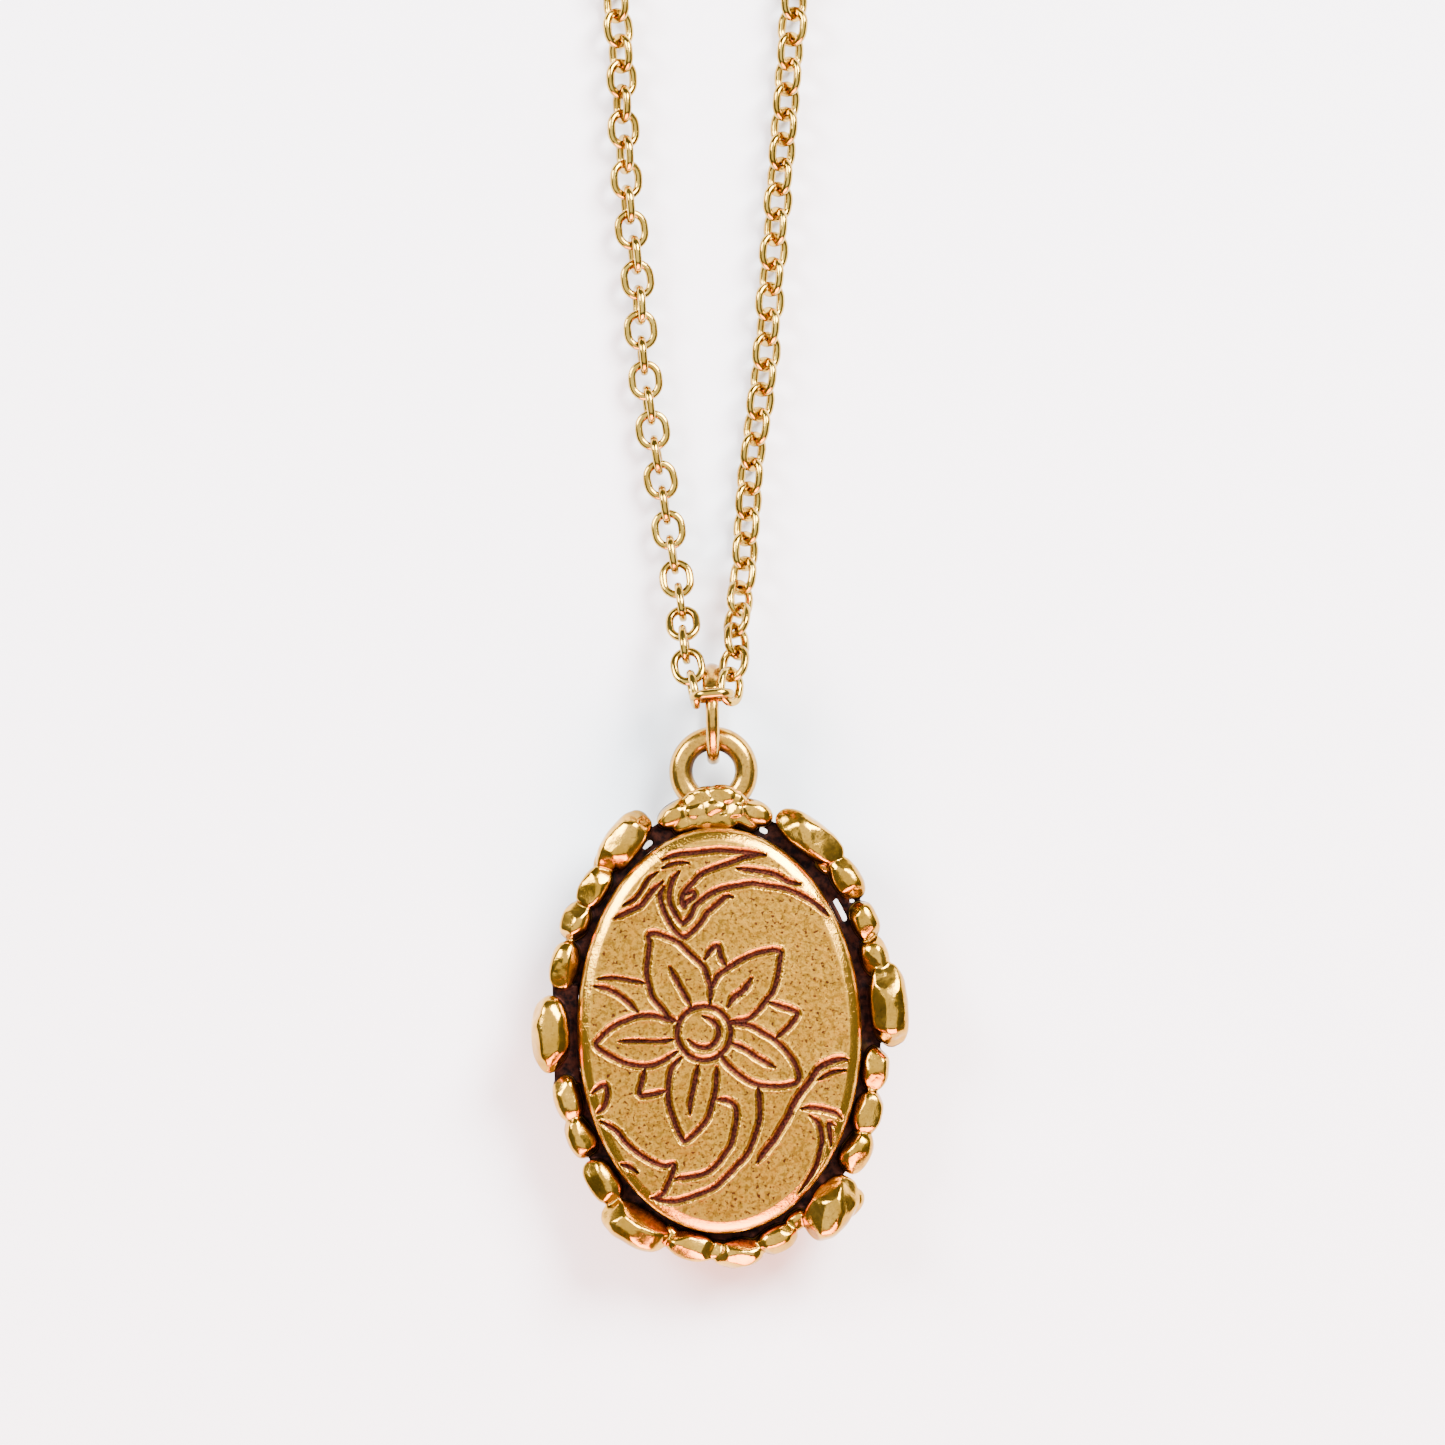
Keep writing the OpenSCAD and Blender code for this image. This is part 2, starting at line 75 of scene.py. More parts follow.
def add_object(name, data):
    """Puts a mesh, a light or a camera into the scene as an object."""
    thing = bpy.data.objects.new(name, data)
    bpy.context.scene.collection.objects.link(thing)
    return thing


lens = bpy.data.cameras.new("camera")
lens.sensor_width = SENSOR
lens.lens = SENSOR * CAMERA_ABOVE / VIEW_WIDTH
lens.clip_end = FAR_CLIP
camera = add_object("camera", lens)
camera.location = Vector((*VIEW_CENTRE, FACE_HEIGHT + CAMERA_ABOVE)) * MM
camera.rotation_euler = (0, 0, -math.radians(CAMERA_ROLL))
bpy.context.scene.camera = camera
print("lens %.0f mm" % lens.lens)

# %% [markdown]
# ## Helpers for meshes
# Every piece below is made from plain lists of corners and faces, because a jeweller's shapes
# are mostly rules: a wire that follows a line, or a profile that goes round an oval. One helper
# turns such lists into an object. Another builds the faces between rings of points, which is all
# that tubes, rings and turned walls need, and a third closes such a stack with two flat ends.

# %% From numbers to an object
def coat(mesh, finish):
    """Gives a mesh one finish, in place of any it had."""
    mesh.materials.clear()
    mesh.materials.append(finish)


def make_piece(name, points, faces, finish, smooth=True):
    """An object from points in millimetres."""
    mesh = bpy.data.meshes.new(name)
    mesh.from_pydata((np.asarray(points, float) * MM).tolist(), [], faces)
    mesh.validate()
    if smooth:
        mesh.shade_smooth()
    coat(mesh, finish)
    return add_object(name, mesh)


def round_angles(count):
    """Even angles round a circle, in radians."""
    return np.arange(count) * math.tau / count


def wall_faces(rows, around, close_rows=False, start=0):
    """Quads between `rows` rings of `around` points each, and back to the first ring if closed."""
    faces = []
    for i in range(rows if close_rows else rows - 1):
        j = (i + 1) % rows
        for k in range(around):
            n = (k + 1) % around
            faces.append((start + i * around + k, start + i * around + n,
                          start + j * around + n, start + j * around + k))
    return faces


def closed_stack(name, rows, finish, sharp=None):
    """A solid from a stack of equal rings. Edges steeper than `sharp` degrees stay crisp."""
    around = len(rows[0])
    last = (len(rows) - 1) * around
    faces = wall_faces(len(rows), around)
    faces += [tuple(reversed(range(around))), tuple(range(last, last + around))]
    piece = make_piece(name, np.vstack(rows), faces, finish)
    if sharp is not None:
        piece.data.set_sharp_from_angle(angle=math.radians(sharp))
    return piece


def paint(mesh, mark, values):
    """Writes one number per corner under the name `mark`, for a finish to read."""
    layer = mesh.attributes.new(mark, "FLOAT", "POINT")
    layer.data.foreach_set("value", values.astype(np.float32))


def place(piece, body, slot, *nodes):
    """Attaches a piece to what it moves with and hides the CAD nodes that it stands for; the slot
    argument is not used.
    """
    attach(piece, body)
    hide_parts(*nodes)
    return piece


def smoothstep(low, high, x):
    """0 below `low`, 1 above `high`, and a soft rise between them."""
    t = np.clip((x - low) / (high - low), 0, 1)
    return t * t * (3 - 2 * t)

# %% [markdown]
# ## Finishes
# Gold jewellery looks rich because no two parts of it are polished alike. The face is satin with
# a fine grain and dark specks, the nuggets are bright and liquid, the chain is a cleaner yellow,
# and everything recessed is darkened with a brown patina that was wiped off the high places.
# Inside the bail that darkening is painted shade as well as patina, and the rubbed edges of the
# face are lightened as a painted highlight.
#
# A metal's colour lives in its reflection, so each finish is the Principled shader at full
# metallic. Noise at three scales then does the work: broad for tone, medium for wear, and very
# fine for the grain. Image textures would also work, but noise has no seams and no size limit.

# %% A small kit for shader nodes
class Finish:
    """A material under construction, with short calls for the nodes that the recipes share."""

    def __init__(self, name):
        self.material = bpy.data.materials.new(name)
        self.material.use_nodes = True
        self.tree = self.material.node_tree
        self.shader = self.tree.nodes["Principled BSDF"]
        self.where = self.node("ShaderNodeTexCoord").outputs["Object"]

    def node(self, kind, **settings):
        node = self.tree.nodes.new(kind)
        for key, value in settings.items():
            setattr(node, key, value)
        return node

    def link(self, output, socket):
        self.tree.links.new(output, socket)

    def noise(self, size_mm, detail=3.0, roughness=0.55, stretch=(1, 1, 1)):
        """Noise whose lumps are about size_mm across."""
        mapping = self.node("ShaderNodeMapping")
        mapping.inputs["Scale"].default_value = stretch
        self.link(self.where, mapping.inputs["Vector"])
        node = self.node("ShaderNodeTexNoise")
        node.inputs["Scale"].default_value = 1000.0 / size_mm
        node.inputs["Detail"].default_value = detail
        node.inputs["Roughness"].default_value = roughness
        self.link(mapping.outputs["Vector"], node.inputs["Vector"])
        return node.outputs["Fac"]

    def spread(self, value, low, high, to_low, to_high):
        """Maps a range of values onto another, and stops at its ends."""
        node = self.node("ShaderNodeMapRange")
        self.link(value, node.inputs["Value"])
        for socket, number in zip(("From Min", "From Max", "To Min", "To Max"),
                                  (low, high, to_low, to_high)):
            node.inputs[socket].default_value = number
        return node.outputs["Result"]

    def mix(self, kind, first_socket, out, amount, first, second):
        node = self.node("ShaderNodeMix", data_type=kind)
        self.link(amount, node.inputs["Factor"])
        for k, value in enumerate((first, second)):
            socket = node.inputs[first_socket + k]
            if isinstance(value, bpy.types.NodeSocket):
                self.link(value, socket)
            else:
                socket.default_value = (*value, 1) if kind == "RGBA" else value
        return node.outputs[out]

    def mix_colour(self, amount, first, second):
        return self.mix("RGBA", 6, 2, amount, first, second)

    def mix_value(self, amount, first, second):
        return self.mix("FLOAT", 2, 0, amount, first, second)

    def bump(self, height, depth_mm, after=None):
        node = self.node("ShaderNodeBump")
        node.inputs["Distance"].default_value = depth_mm * MM
        self.link(height, node.inputs["Height"])
        if after is not None:
            self.link(after, node.inputs["Normal"])
        return node.outputs["Normal"]

    def painted(self, mark):
        return self.node("ShaderNodeAttribute", attribute_name=mark).outputs["Fac"]

    def give(self, **sockets):
        """Sets or links the shader's own sockets; Base_Color means "Base Color"."""
        for name, value in sockets.items():
            socket = self.shader.inputs[name.replace("_", " ")]
            if isinstance(value, bpy.types.NodeSocket):
                self.link(value, socket)
            else:
                socket.default_value = value
        return self.material

# %% [markdown]
# One recipe makes all the golds. The two colours are a high place and a low place of the same
# alloy; `grain` is the size and depth of the satin; `specks` adds the small pits that hold
# patina. Where a mesh carries a patina value at its corners, that value paints the darkening
# where the engraver's tool or the casting left a recess; inside the bail it is painted shade as
# well as patina. A rubbed value does the opposite on edges that wear has polished: it lowers
# their roughness, and it lightens their colour as a painted highlight.

# %% The gold recipe
# Patina colours; the patina roughness, metal and specular below go with them. Inside the bail they
# also paint shade.
PATINA_AND_PAINTED_SHADE, PATINA_AND_PAINTED_SHADE_WARM = (0.009, 0.0022, 0.0018), (0.050, 0.011, 0.006)
SOOT, SOOT_WARM = (0.0035, 0.0018, 0.002), (0.022, 0.0065, 0.004)
TONE_MM, CLOUD_MM, MOTTLE_MM, PIT_MM = 2.4, 0.55, 0.24, 0.19     # how wide each patch of noise is
MOTTLE_DARK = 0.62               # a mottled spot's colour, as a share of the low colour
# Rubbed edges: wear lowers their roughness, and their colour is lightened by this share as a
# painted highlight.
PAINTED_HIGHLIGHT_GAIN, RUBBED_ROUGH = 1.5, 0.15
PATINA_ROUGH, PATINA_METAL, PATINA_SPECULAR = 0.5, 0.85, 0.08
GOLD_SPECULAR = 0.5


def gold_finish(name, high, low, polish, grain, specks=0.0, patina_and_painted_shade=None, mottling=0.4):
    """polish is the smallest and largest roughness, grain is its size and depth in millimetres."""
    gold = Finish(name)
    grain_mm, grain_depth = grain
    tone = gold.noise(TONE_MM, 2)
    cloud = gold.noise(CLOUD_MM, 4)
    fine = gold.noise(grain_mm, 3, 0.65)
    colour = gold.mix_colour(gold.spread(tone, 0.35, 0.65, 0, 1), high,
                             tuple((1 - mottling) * h + mottling * l for h, l in zip(high, low)))
    colour = gold.mix_colour(gold.spread(cloud, 0.45, 0.75, 0, 0.8), colour, low)
    rough = gold.spread(cloud, 0.3, 0.7, *polish)
    normal = gold.bump(fine, grain_depth)
    normal = gold.bump(cloud, grain_depth * 1.2, normal)
    if specks:
        mottle = gold.spread(gold.noise(MOTTLE_MM, 3, 0.7), 0.45, 0.58, 0, 0.85 * specks)
        colour = gold.mix_colour(mottle, colour, tuple(MOTTLE_DARK * c for c in low))
        pits = gold.spread(gold.noise(PIT_MM, 2, 0.5), 0.60, 0.66, 0, specks)
        colour = gold.mix_colour(pits, colour, PATINA_AND_PAINTED_SHADE_WARM)
    if patina_and_painted_shade:
        # Rubbed edges: lower roughness from wear, and a lighter colour that is a painted highlight.
        rub_and_highlight = gold.painted("rubbed_and_highlight")
        colour = gold.mix_colour(rub_and_highlight, colour, tuple(min(1.0, PAINTED_HIGHLIGHT_GAIN * c) for c in high))
        rough = gold.mix_value(rub_and_highlight, rough, RUBBED_ROUGH)
        # Patina in recesses; inside the bail this darkening is also painted shade.
        dark = gold.painted("patina_and_painted_shade")
        mottled = gold.mix_colour(gold.spread(fine, 0.4, 0.62, 0, 1), *patina_and_painted_shade)
        colour = gold.mix_colour(dark, colour, mottled)
        rough = gold.mix_value(dark, rough, PATINA_ROUGH)
        gold.give(Specular_IOR_Level=gold.spread(dark, 0.0, 1.0, GOLD_SPECULAR, PATINA_SPECULAR),
                  Metallic=gold.spread(dark, 0.0, 1.0, 1.0, PATINA_METAL))
    else:
        gold.give(Metallic=1.0)
    return gold.give(Base_Color=colour, Roughness=rough, Normal=normal)

# %% The golds
engraved_gold = gold_finish("engraved_gold", (0.45, 0.228, 0.022), (0.27, 0.125, 0.008),
                            (0.28, 0.44), (0.12, 0.017), specks=0.95,
                            patina_and_painted_shade=(PATINA_AND_PAINTED_SHADE, PATINA_AND_PAINTED_SHADE_WARM))
nugget_gold = gold_finish("nugget_gold", (0.60, 0.330, 0.045), (0.36, 0.185, 0.014),
                          (0.10, 0.24), (0.35, 0.014), specks=0.25,
                          patina_and_painted_shade=(SOOT, SOOT_WARM), mottling=1.0)
bail_gold = gold_finish("bail_gold", (0.54, 0.300, 0.045), (0.37, 0.180, 0.018),
                        (0.13, 0.26), (0.30, 0.008), specks=0.35,
                        patina_and_painted_shade=(PATINA_AND_PAINTED_SHADE, PATINA_AND_PAINTED_SHADE_WARM))
case_gold = gold_finish("case_gold", (0.48, 0.250, 0.036), (0.33, 0.155, 0.016),
                        (0.22, 0.34), (0.09, 0.004), specks=0.1)
chain_gold = gold_finish("chain_gold", (0.54, 0.350, 0.062), (0.34, 0.195, 0.022),
                         (0.09, 0.20), (0.20, 0.006), mottling=0.8)
print("golds:", [m.name for m in bpy.data.materials if m.name.endswith("gold")])

# %% [markdown]
# The rest are plain: the steel of the hinge pin and the clasp's spring, clear film for the
# two windows, and the blank card that fills a new locket until a picture is cut for it. The card
# gets paper fibres, which are noise stretched along one direction.

# %% Steel, window and card
def steel_finish():
    steel = Finish("pin_steel")
    drawn = steel.noise(0.08, 2, 0.6, (1, 0.08, 1))
    return steel.give(Base_Color=steel.mix_colour(drawn, (0.60, 0.59, 0.57), (0.44, 0.43, 0.42)),
                      Roughness=steel.spread(drawn, 0.3, 0.7, 0.2, 0.38),
                      Normal=steel.bump(drawn, 0.003), Metallic=1.0)


def window_finish():
    film = Finish("clear_window")
    smear = film.noise(1.8, 3)
    return film.give(Roughness=film.spread(smear, 0.4, 0.7, 0.03, 0.12),
                     Base_Color=(0.93, 0.96, 0.97, 1), IOR=1.49, Alpha=0.12)


def card_finish():
    card = Finish("blank_card")
    fibre = card.noise(0.12, 4, 0.6, (1, 0.3, 1))
    tone = card.noise(3.0, 2)
    base = card.mix_colour(tone, (0.62, 0.56, 0.44), (0.54, 0.47, 0.35))
    speckled = card.mix_colour(card.spread(fibre, 0.5, 0.75, 0, 0.5), base, (0.46, 0.39, 0.28))
    return card.give(Base_Color=speckled, Normal=card.bump(fibre, 0.02), Roughness=0.85)


pin_steel, clear_window, blank_card = steel_finish(), window_finish(), card_finish()
print("others:", [m.name for m in (pin_steel, clear_window, blank_card)])

# %% [markdown]
# ## The chain
# A cable chain is made of plain oval links of round wire, each standing a quarter turn from its
# neighbours. The links could be one link repeated by an array modifier along a curve, but then
# they stretch in the bends. Here each link is placed by itself at its own distance along the
# route, so every link keeps its true size and the strand may also twist, as a real one does.
#
# The route starts at the link that carries the jump ring, comes down to the table and runs up out
# of view. The rest of each strand is folded into a flat hank, as a shop would send it, wound
# inwards so that no fold is tight. These are the same points that the CAD part follows.

# %% The two routes
LEFT_ROUTE = [
    (-1.4, 21, 3.9), (-1.5, 22.4, 3), (-1.6, 23.7, 2.2), (-1.8, 25.1, 1.6), (-2, 26.5, 1.3),
    (-2.4, 29.4, 1.1), (-2.8, 32.4, 1.05), (-3.2, 35.3, 1.05), (-3.5, 38.4, 1.05),
    (-3.6, 41.2, 1.05), (-3.8, 44, 1.05), (-4.1, 46.5, 1.05), (-4.2, 49.3, 1.05),
    (-4.3, 52.1, 1.05), (-4.3, 54.9, 1.05), (-4.5, 57.7, 1.05), (-4.3, 60, 1.05),
    (-3.5, 62.3, 1.05), (-2.4, 64.3, 1.1), (-1.5, 66.2, 1.15), (-1.25, 68, 1.2)]
RIGHT_ROUTE = [
    (1.4, 21.3, 3.7), (1.5, 22.9, 2.7), (1.7, 24.2, 1.9), (1.9, 25.4, 1.5), (2.2, 28.5, 1.1),
    (2.5, 31.6, 1.05), (3, 34.6, 1.05), (3.5, 38, 1.05), (3.8, 41.3, 1.05), (4.2, 45.2, 1.05),
    (4.5, 48, 1.05), (4.8, 50.8, 1.05), (5.2, 54.7, 1.05), (5.5, 57.5, 1.05), (5.3, 59.8, 1.05),
    (4.4, 61.9, 1.05), (3, 63.9, 1.1), (1.8, 65.9, 1.15), (1.25, 68, 1.2)]
EXIT_LEFT, EXIT_RIGHT = (-0.95, 18.66, 4.9), (0.95, 18.66, 4.9)   # on the centre link's bows
HANK_X, HANK_Y, LIE = 1.25, 69.5, 1.2    # where a hank starts; LIE is its height off the table
HANK_R, HANK_L, HANK_PITCH = 6.0, 31.5, 2.1
LOW_R, INNER_R = HANK_R - HANK_PITCH / 2, HANK_R - HANK_PITCH
LOW_X = HANK_X + 2 * HANK_R - LOW_R
HANK_TOP = HANK_Y + HANK_L
STRAND_END = (LOW_X, HANK_Y + 7.8)


def fold(x, y, r, start, end, count=16):
    """A half circle, given by its middle and its two angles in degrees."""
    return [(x + r * math.cos(a), y + r * math.sin(a))
            for a in np.radians(np.linspace(start, end, count))]


def run(x, y0, y1):
    """Points up or down a straight run, without its ends."""
    return [(x, y) for y in np.linspace(y0, y1, 8)[1:-1]]


def hank(side):
    """The folded end of a strand; side is -1 on the left and 1 on the right."""
    second, last = HANK_X + HANK_PITCH, HANK_X + HANK_PITCH + 2 * INNER_R
    points = [(HANK_X, HANK_Y)] + run(HANK_X, HANK_Y, HANK_TOP)
    points += fold(HANK_X + HANK_R, HANK_TOP, HANK_R, 180, 0)
    points += run(HANK_X + 2 * HANK_R, HANK_TOP, HANK_Y)
    points += fold(LOW_X, HANK_Y, LOW_R, 0, -180)
    points += run(second, HANK_Y, HANK_TOP)
    points += fold(second + INNER_R, HANK_TOP, INNER_R, 180, 0)
    for t in np.linspace(0, 1, 9):      # the end drifts to the middle of the hank
        points.append((LOW_X + (last - LOW_X) * (1 + math.cos(math.pi * t)) / 2,
                       HANK_TOP - 4 - 14 * t))
    points.append(STRAND_END)
    return [(side * x, y, LIE) for x, y in points]


def smooth_line(points, step=0.25):
    """A Catmull-Rom curve through the points, sampled about every `step` millimetres."""
    p = np.asarray(points, float)
    p = np.vstack([2 * p[0] - p[1], p, 2 * p[-1] - p[-2]])
    out = []
    for a, b, c, d in zip(p, p[1:], p[2:], p[3:]):
        count = max(2, int(np.linalg.norm(c - b) / step))
        t = np.linspace(0, 1, count, endpoint=False)[:, None]
        out.append(0.5 * (2 * b + (c - a) * t + (2 * a - 5 * b + 4 * c - d) * t * t
                          + (3 * b - a - 3 * c + d) * t ** 3))
    return np.vstack(out + [p[-2][None]])


left_line = smooth_line([EXIT_LEFT] + LEFT_ROUTE + hank(-1))
right_line = smooth_line([EXIT_RIGHT] + RIGHT_ROUTE + hank(1))


def distance_along(line):
    """How far each point of a line is from its start, measured along it."""
    return np.concatenate([[0], np.cumsum(np.linalg.norm(np.diff(line, axis=0), axis=1))])


print("strands:", [round(distance_along(line)[-1], 1) for line in (left_line, right_line)])

# %% [markdown]
# ### One link
# A link is a stadium: two half circles and two straight sides. The wire of this chain isn't quite
# round, because the links were pressed a little flat after soldering, so its section is a
# rounded square. The solder joint is a small swelling in one straight side.

# %% The link's own shape
LINK_L, LINK_W, LINK_WIRE = 2.32, 1.96, 0.45
LINK_PITCH = LINK_L - 2 * LINK_WIRE      # links touch inside each other's bows
LINK_SOLDER, LINK_SQUARENESS = 0.06, 0.22
AROUND, TUBE = 28, 12            # points along a link's wire and round it


def stadium(length, width, count):
    """Points round a stadium's line, with their outward directions."""
    r, half = width / 2, (length - width) / 2
    edge = 2 * math.pi * r + 4 * half
    points, out = [], []
    for i in range(count):
        s = i * edge / count
        if s < 2 * half:
            p, o = (s - half, -r), (0, -1)
        elif s < 2 * half + math.pi * r:
            a = (s - 2 * half) / r - math.pi / 2
            o = (math.cos(a), math.sin(a))
            p = (half + r * o[0], r * o[1])
        elif s < 4 * half + math.pi * r:
            p, o = (half - (s - 2 * half - math.pi * r), r), (0, 1)
        else:
            a = (s - 4 * half - math.pi * r) / r + math.pi / 2
            o = (math.cos(a), math.sin(a))
            p = (-half + r * o[0], r * o[1])
        points.append(p)
        out.append(o)
    return np.array(points), np.array(out)


def wire_section(count, squareness):
    """A circle (0) to rounded square (1) section of half-width 1."""
    a = round_angles(count)
    power = 1 / (1 + squareness)
    c, s = np.cos(a), np.sin(a)
    return np.sign(c) * np.abs(c) ** power, np.sign(s) * np.abs(s) ** power


def link_points(length=LINK_L, width=LINK_W, wire=LINK_WIRE, around=AROUND, tube=TUBE):
    """A link in its own frame: long side along X, flat in XY."""
    line, out = stadium(length - wire, width - wire, around)
    across, up = wire_section(tube, LINK_SQUARENESS)
    swell = 1 + LINK_SOLDER * np.exp(-((np.arange(around) - around * 0.055) / 1.1) ** 2)
    r = wire / 2 * swell[:, None]
    flat = line[:, None, :] + out[:, None, :] * (r * across)[:, :, None]
    return np.dstack([flat, r * up]).reshape(-1, 3)


LINK = link_points()
LINK_FACES = wall_faces(AROUND, TUBE, close_rows=True)
print("one link: %d corners, pitch %.2f mm" % (len(LINK), LINK_PITCH))

# %% [markdown]
# ### Laying the links along a route
# Each link needs a middle, a direction and a roll. Neighbours roll a quarter turn apart. On the
# left strand they start square to the table and drift to about a third of the way over; on the
# right they lie at 45 degrees, as two strands from the same reel do when one is twisted. A little
# seeded play in every link keeps the row from looking like a machine drawing.

# %% Laying a strand
ROLL_PLAY, YAW_PLAY, SIZE_PLAY = 3.5, 1.6, 0.004     # degrees, degrees and a share of its size
SETTLING = 4                     # links over which the last one turns to suit its fitting


def lay_strand(name, line, roll_along, seed, last_roll, slack=0.0):
    """Links along a line. roll_along gives (distance, roll in degrees) of the even links."""
    play = np.random.default_rng(seed)
    reach = distance_along(line)
    first = (LINK_L - 3 * LINK_WIRE) / 2 + slack
    count = int((reach[-1] - first) / (LINK_PITCH * 0.995)) + 1
    pitch = (reach[-1] - first) / (count - 1)
    points, faces = [], []
    for k in range(count):
        s = first + k * pitch
        at = [np.array([np.interp(s + d, reach, line[:, i]) for i in range(3)])
              for d in (-0.5, 0, 0.5)]
        ahead = (at[2] - at[0]) / np.linalg.norm(at[2] - at[0])
        side = np.cross((0, 0, 1), ahead)
        side /= np.linalg.norm(side)
        up = np.cross(ahead, side)
        left = count - 1 - k
        roll = np.interp(s, *zip(*roll_along)) + 90 * (k % 2) + play.normal(0, ROLL_PLAY)
        if left < SETTLING:
            goal = last_roll + 90 * (left % 2)
            turn = (goal - roll + 90) % 180 - 90
            roll += turn * (1 - left / SETTLING)
        roll = math.radians(roll)
        across = math.cos(roll) * side + math.sin(roll) * up
        normal = np.cross(ahead, across)
        yaw = math.radians(play.normal(0, YAW_PLAY))
        ahead, across = (math.cos(yaw) * ahead + math.sin(yaw) * across,
                         math.cos(yaw) * across - math.sin(yaw) * ahead)
        flip = 1 if play.random() < 0.5 else -1
        size = 1 + play.normal(0, SIZE_PLAY)
        points.append(at[1] + LINK @ (np.array([flip * ahead, across, flip * normal]) * size))
        faces += [tuple(c + k * len(LINK) for c in face) for face in LINK_FACES]
    points = np.vstack(points)
    print("%s: %d links, pitch %.3f mm, lowest %.2f mm" % (name, count, pitch, points[:, 2].min()))
    return make_piece(name, points, faces, chain_gold)


LEFT_ROLLS = [(0, 90), (4, 88), (12, 90), (24, 100), (38, 125), (60, 138), (230, 150)]
RIGHT_ROLLS = [(0, 50), (3, 46), (7, 45), (16, 47), (22, 30), (32, 46), (60, 48), (230, 40)]
ROLLING_ROOM = 0.14              # lets the centre link roll past the right strand's first link
left_strand = lay_strand("left_strand", left_line, LEFT_ROLLS, 3, 0)
right_strand = lay_strand("right_strand", right_line, RIGHT_ROLLS, 5, 90, slack=ROLLING_ROOM)

# %% [markdown]
# ## The clasp and the end ring
# The folded ends finish in a lobster clasp and the ring that it hooks. Their shapes are right in
# the CAD part, but its edges are dead sharp. A cast and tumbled finding has soft edges, so each is
# copied, its flat faces are merged back into whole ones, and a bevel rounds the corners.

# %% Softening a CAD piece
SAME_PLACE = 0.001               # corners closer than this are one corner
FLAT, SHARP, CRISP = 2, 32, 40   # degrees: faces to merge, edges to round, edges shaded crisp


def soften(node, name, finish, width):
    """A copy of a CAD node with its sharp edges rounded by `width` millimetres."""
    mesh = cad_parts[node].data.copy()
    mesh.name = name
    coat(mesh, finish)
    bm = bmesh.new()
    bm.from_mesh(mesh)
    bmesh.ops.remove_doubles(bm, verts=bm.verts, dist=SAME_PLACE * MM)
    bmesh.ops.dissolve_limit(bm, angle_limit=math.radians(FLAT), verts=bm.verts, edges=bm.edges)
    sharp = [e for e in bm.edges
             if len(e.link_faces) == 2 and e.calc_face_angle(0) > math.radians(SHARP)]
    bmesh.ops.bevel(bm, geom=sharp, offset=width * MM, offset_type="OFFSET", segments=3,
                    profile=0.5, affect="EDGES", clamp_overlap=True)
    bmesh.ops.triangulate(bm, faces=[f for f in bm.faces if len(f.verts) > 4])
    bmesh.ops.recalc_face_normals(bm, faces=bm.faces)
    bm.to_mesh(mesh)
    bm.free()
    mesh.shade_smooth()
    mesh.set_sharp_from_angle(angle=math.radians(CRISP))
    print("%s: %d edges rounded by %.2f mm" % (name, len(sharp), width))
    return add_object(name, mesh)

# %% [markdown]
# A ring of wire is a circle swept round a circle. Made from numbers instead of copied, it can be
# as smooth as it needs, its wire can thicken, and it can have the small gap where it was closed.

# %% A ring of wire
NIB = (-2.4, -1.2, -0.5, 0, 0.5, 1.2, 2.4)     # degrees from a butt joint at which points are set
JOINT_DIP, JOINT_WIDTH = 0.2, 0.011            # the joint's groove: share of the wire, and radians


def around_zero(angle):
    """The same angle between minus and plus half a turn."""
    return (angle + math.pi) % math.tau - math.pi


def wire_ring(name, centre, normal, big_r, wire, finish, around=96, tube=20, squareness=0.0,
              joint=None, shape=None):
    """joint is a butt joint's angle in degrees. shape(angle) scales the wire out and sideways."""
    normal = Vector(normal).normalized()
    side = normal.orthogonal().normalized() if abs(normal.x) < 0.9 else Vector((0, 1, 0))
    up = normal.cross(side)
    angles = round_angles(around)
    if joint is not None:
        nib = np.radians(NIB) + math.radians(joint)
        clear = np.abs(around_zero(angles - math.radians(joint))) > 0.045
        angles = np.sort(np.concatenate([angles[clear], nib]))
    across, over = wire_section(tube, squareness)
    points = []
    for a in angles:
        out = side * math.cos(a) + up * math.sin(a)
        wide, high = shape(a) if shape else (1, 1)
        dip = 1
        if joint is not None:
            away = around_zero(a - math.radians(joint))
            dip = 1 - JOINT_DIP * math.exp(-(away / JOINT_WIDTH) ** 2)
        for u, v in zip(across, over):
            points.append(Vector(centre) + out * (big_r + u * wide * dip * wire / 2)
                          + normal * (v * high * dip * wire / 2))
    return make_piece(name, points, wall_faces(len(angles), tube, close_rows=True), finish)

# %% [markdown]
# The clasp's lever is made a touch smaller than its CAD solid, so that it stays clear of the
# clasp's body when it is pressed. The spring keeps its CAD shape and only gets its steel.

# %% Clasp and end ring
CLASP_RING_R, CLASP_RING_WIRE = 1.2, 0.6
END_RING_OD, END_RING_WIRE, END_RING_LIFT = 4.5, 0.7, 0.6
LEVER_PIVOT, LEVER_SCALE = Vector((-7.6, 71.65, 0.9)) * MM, 0.97


def middle_of(node):
    low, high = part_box(node)
    return (low + high) / 2 / MM


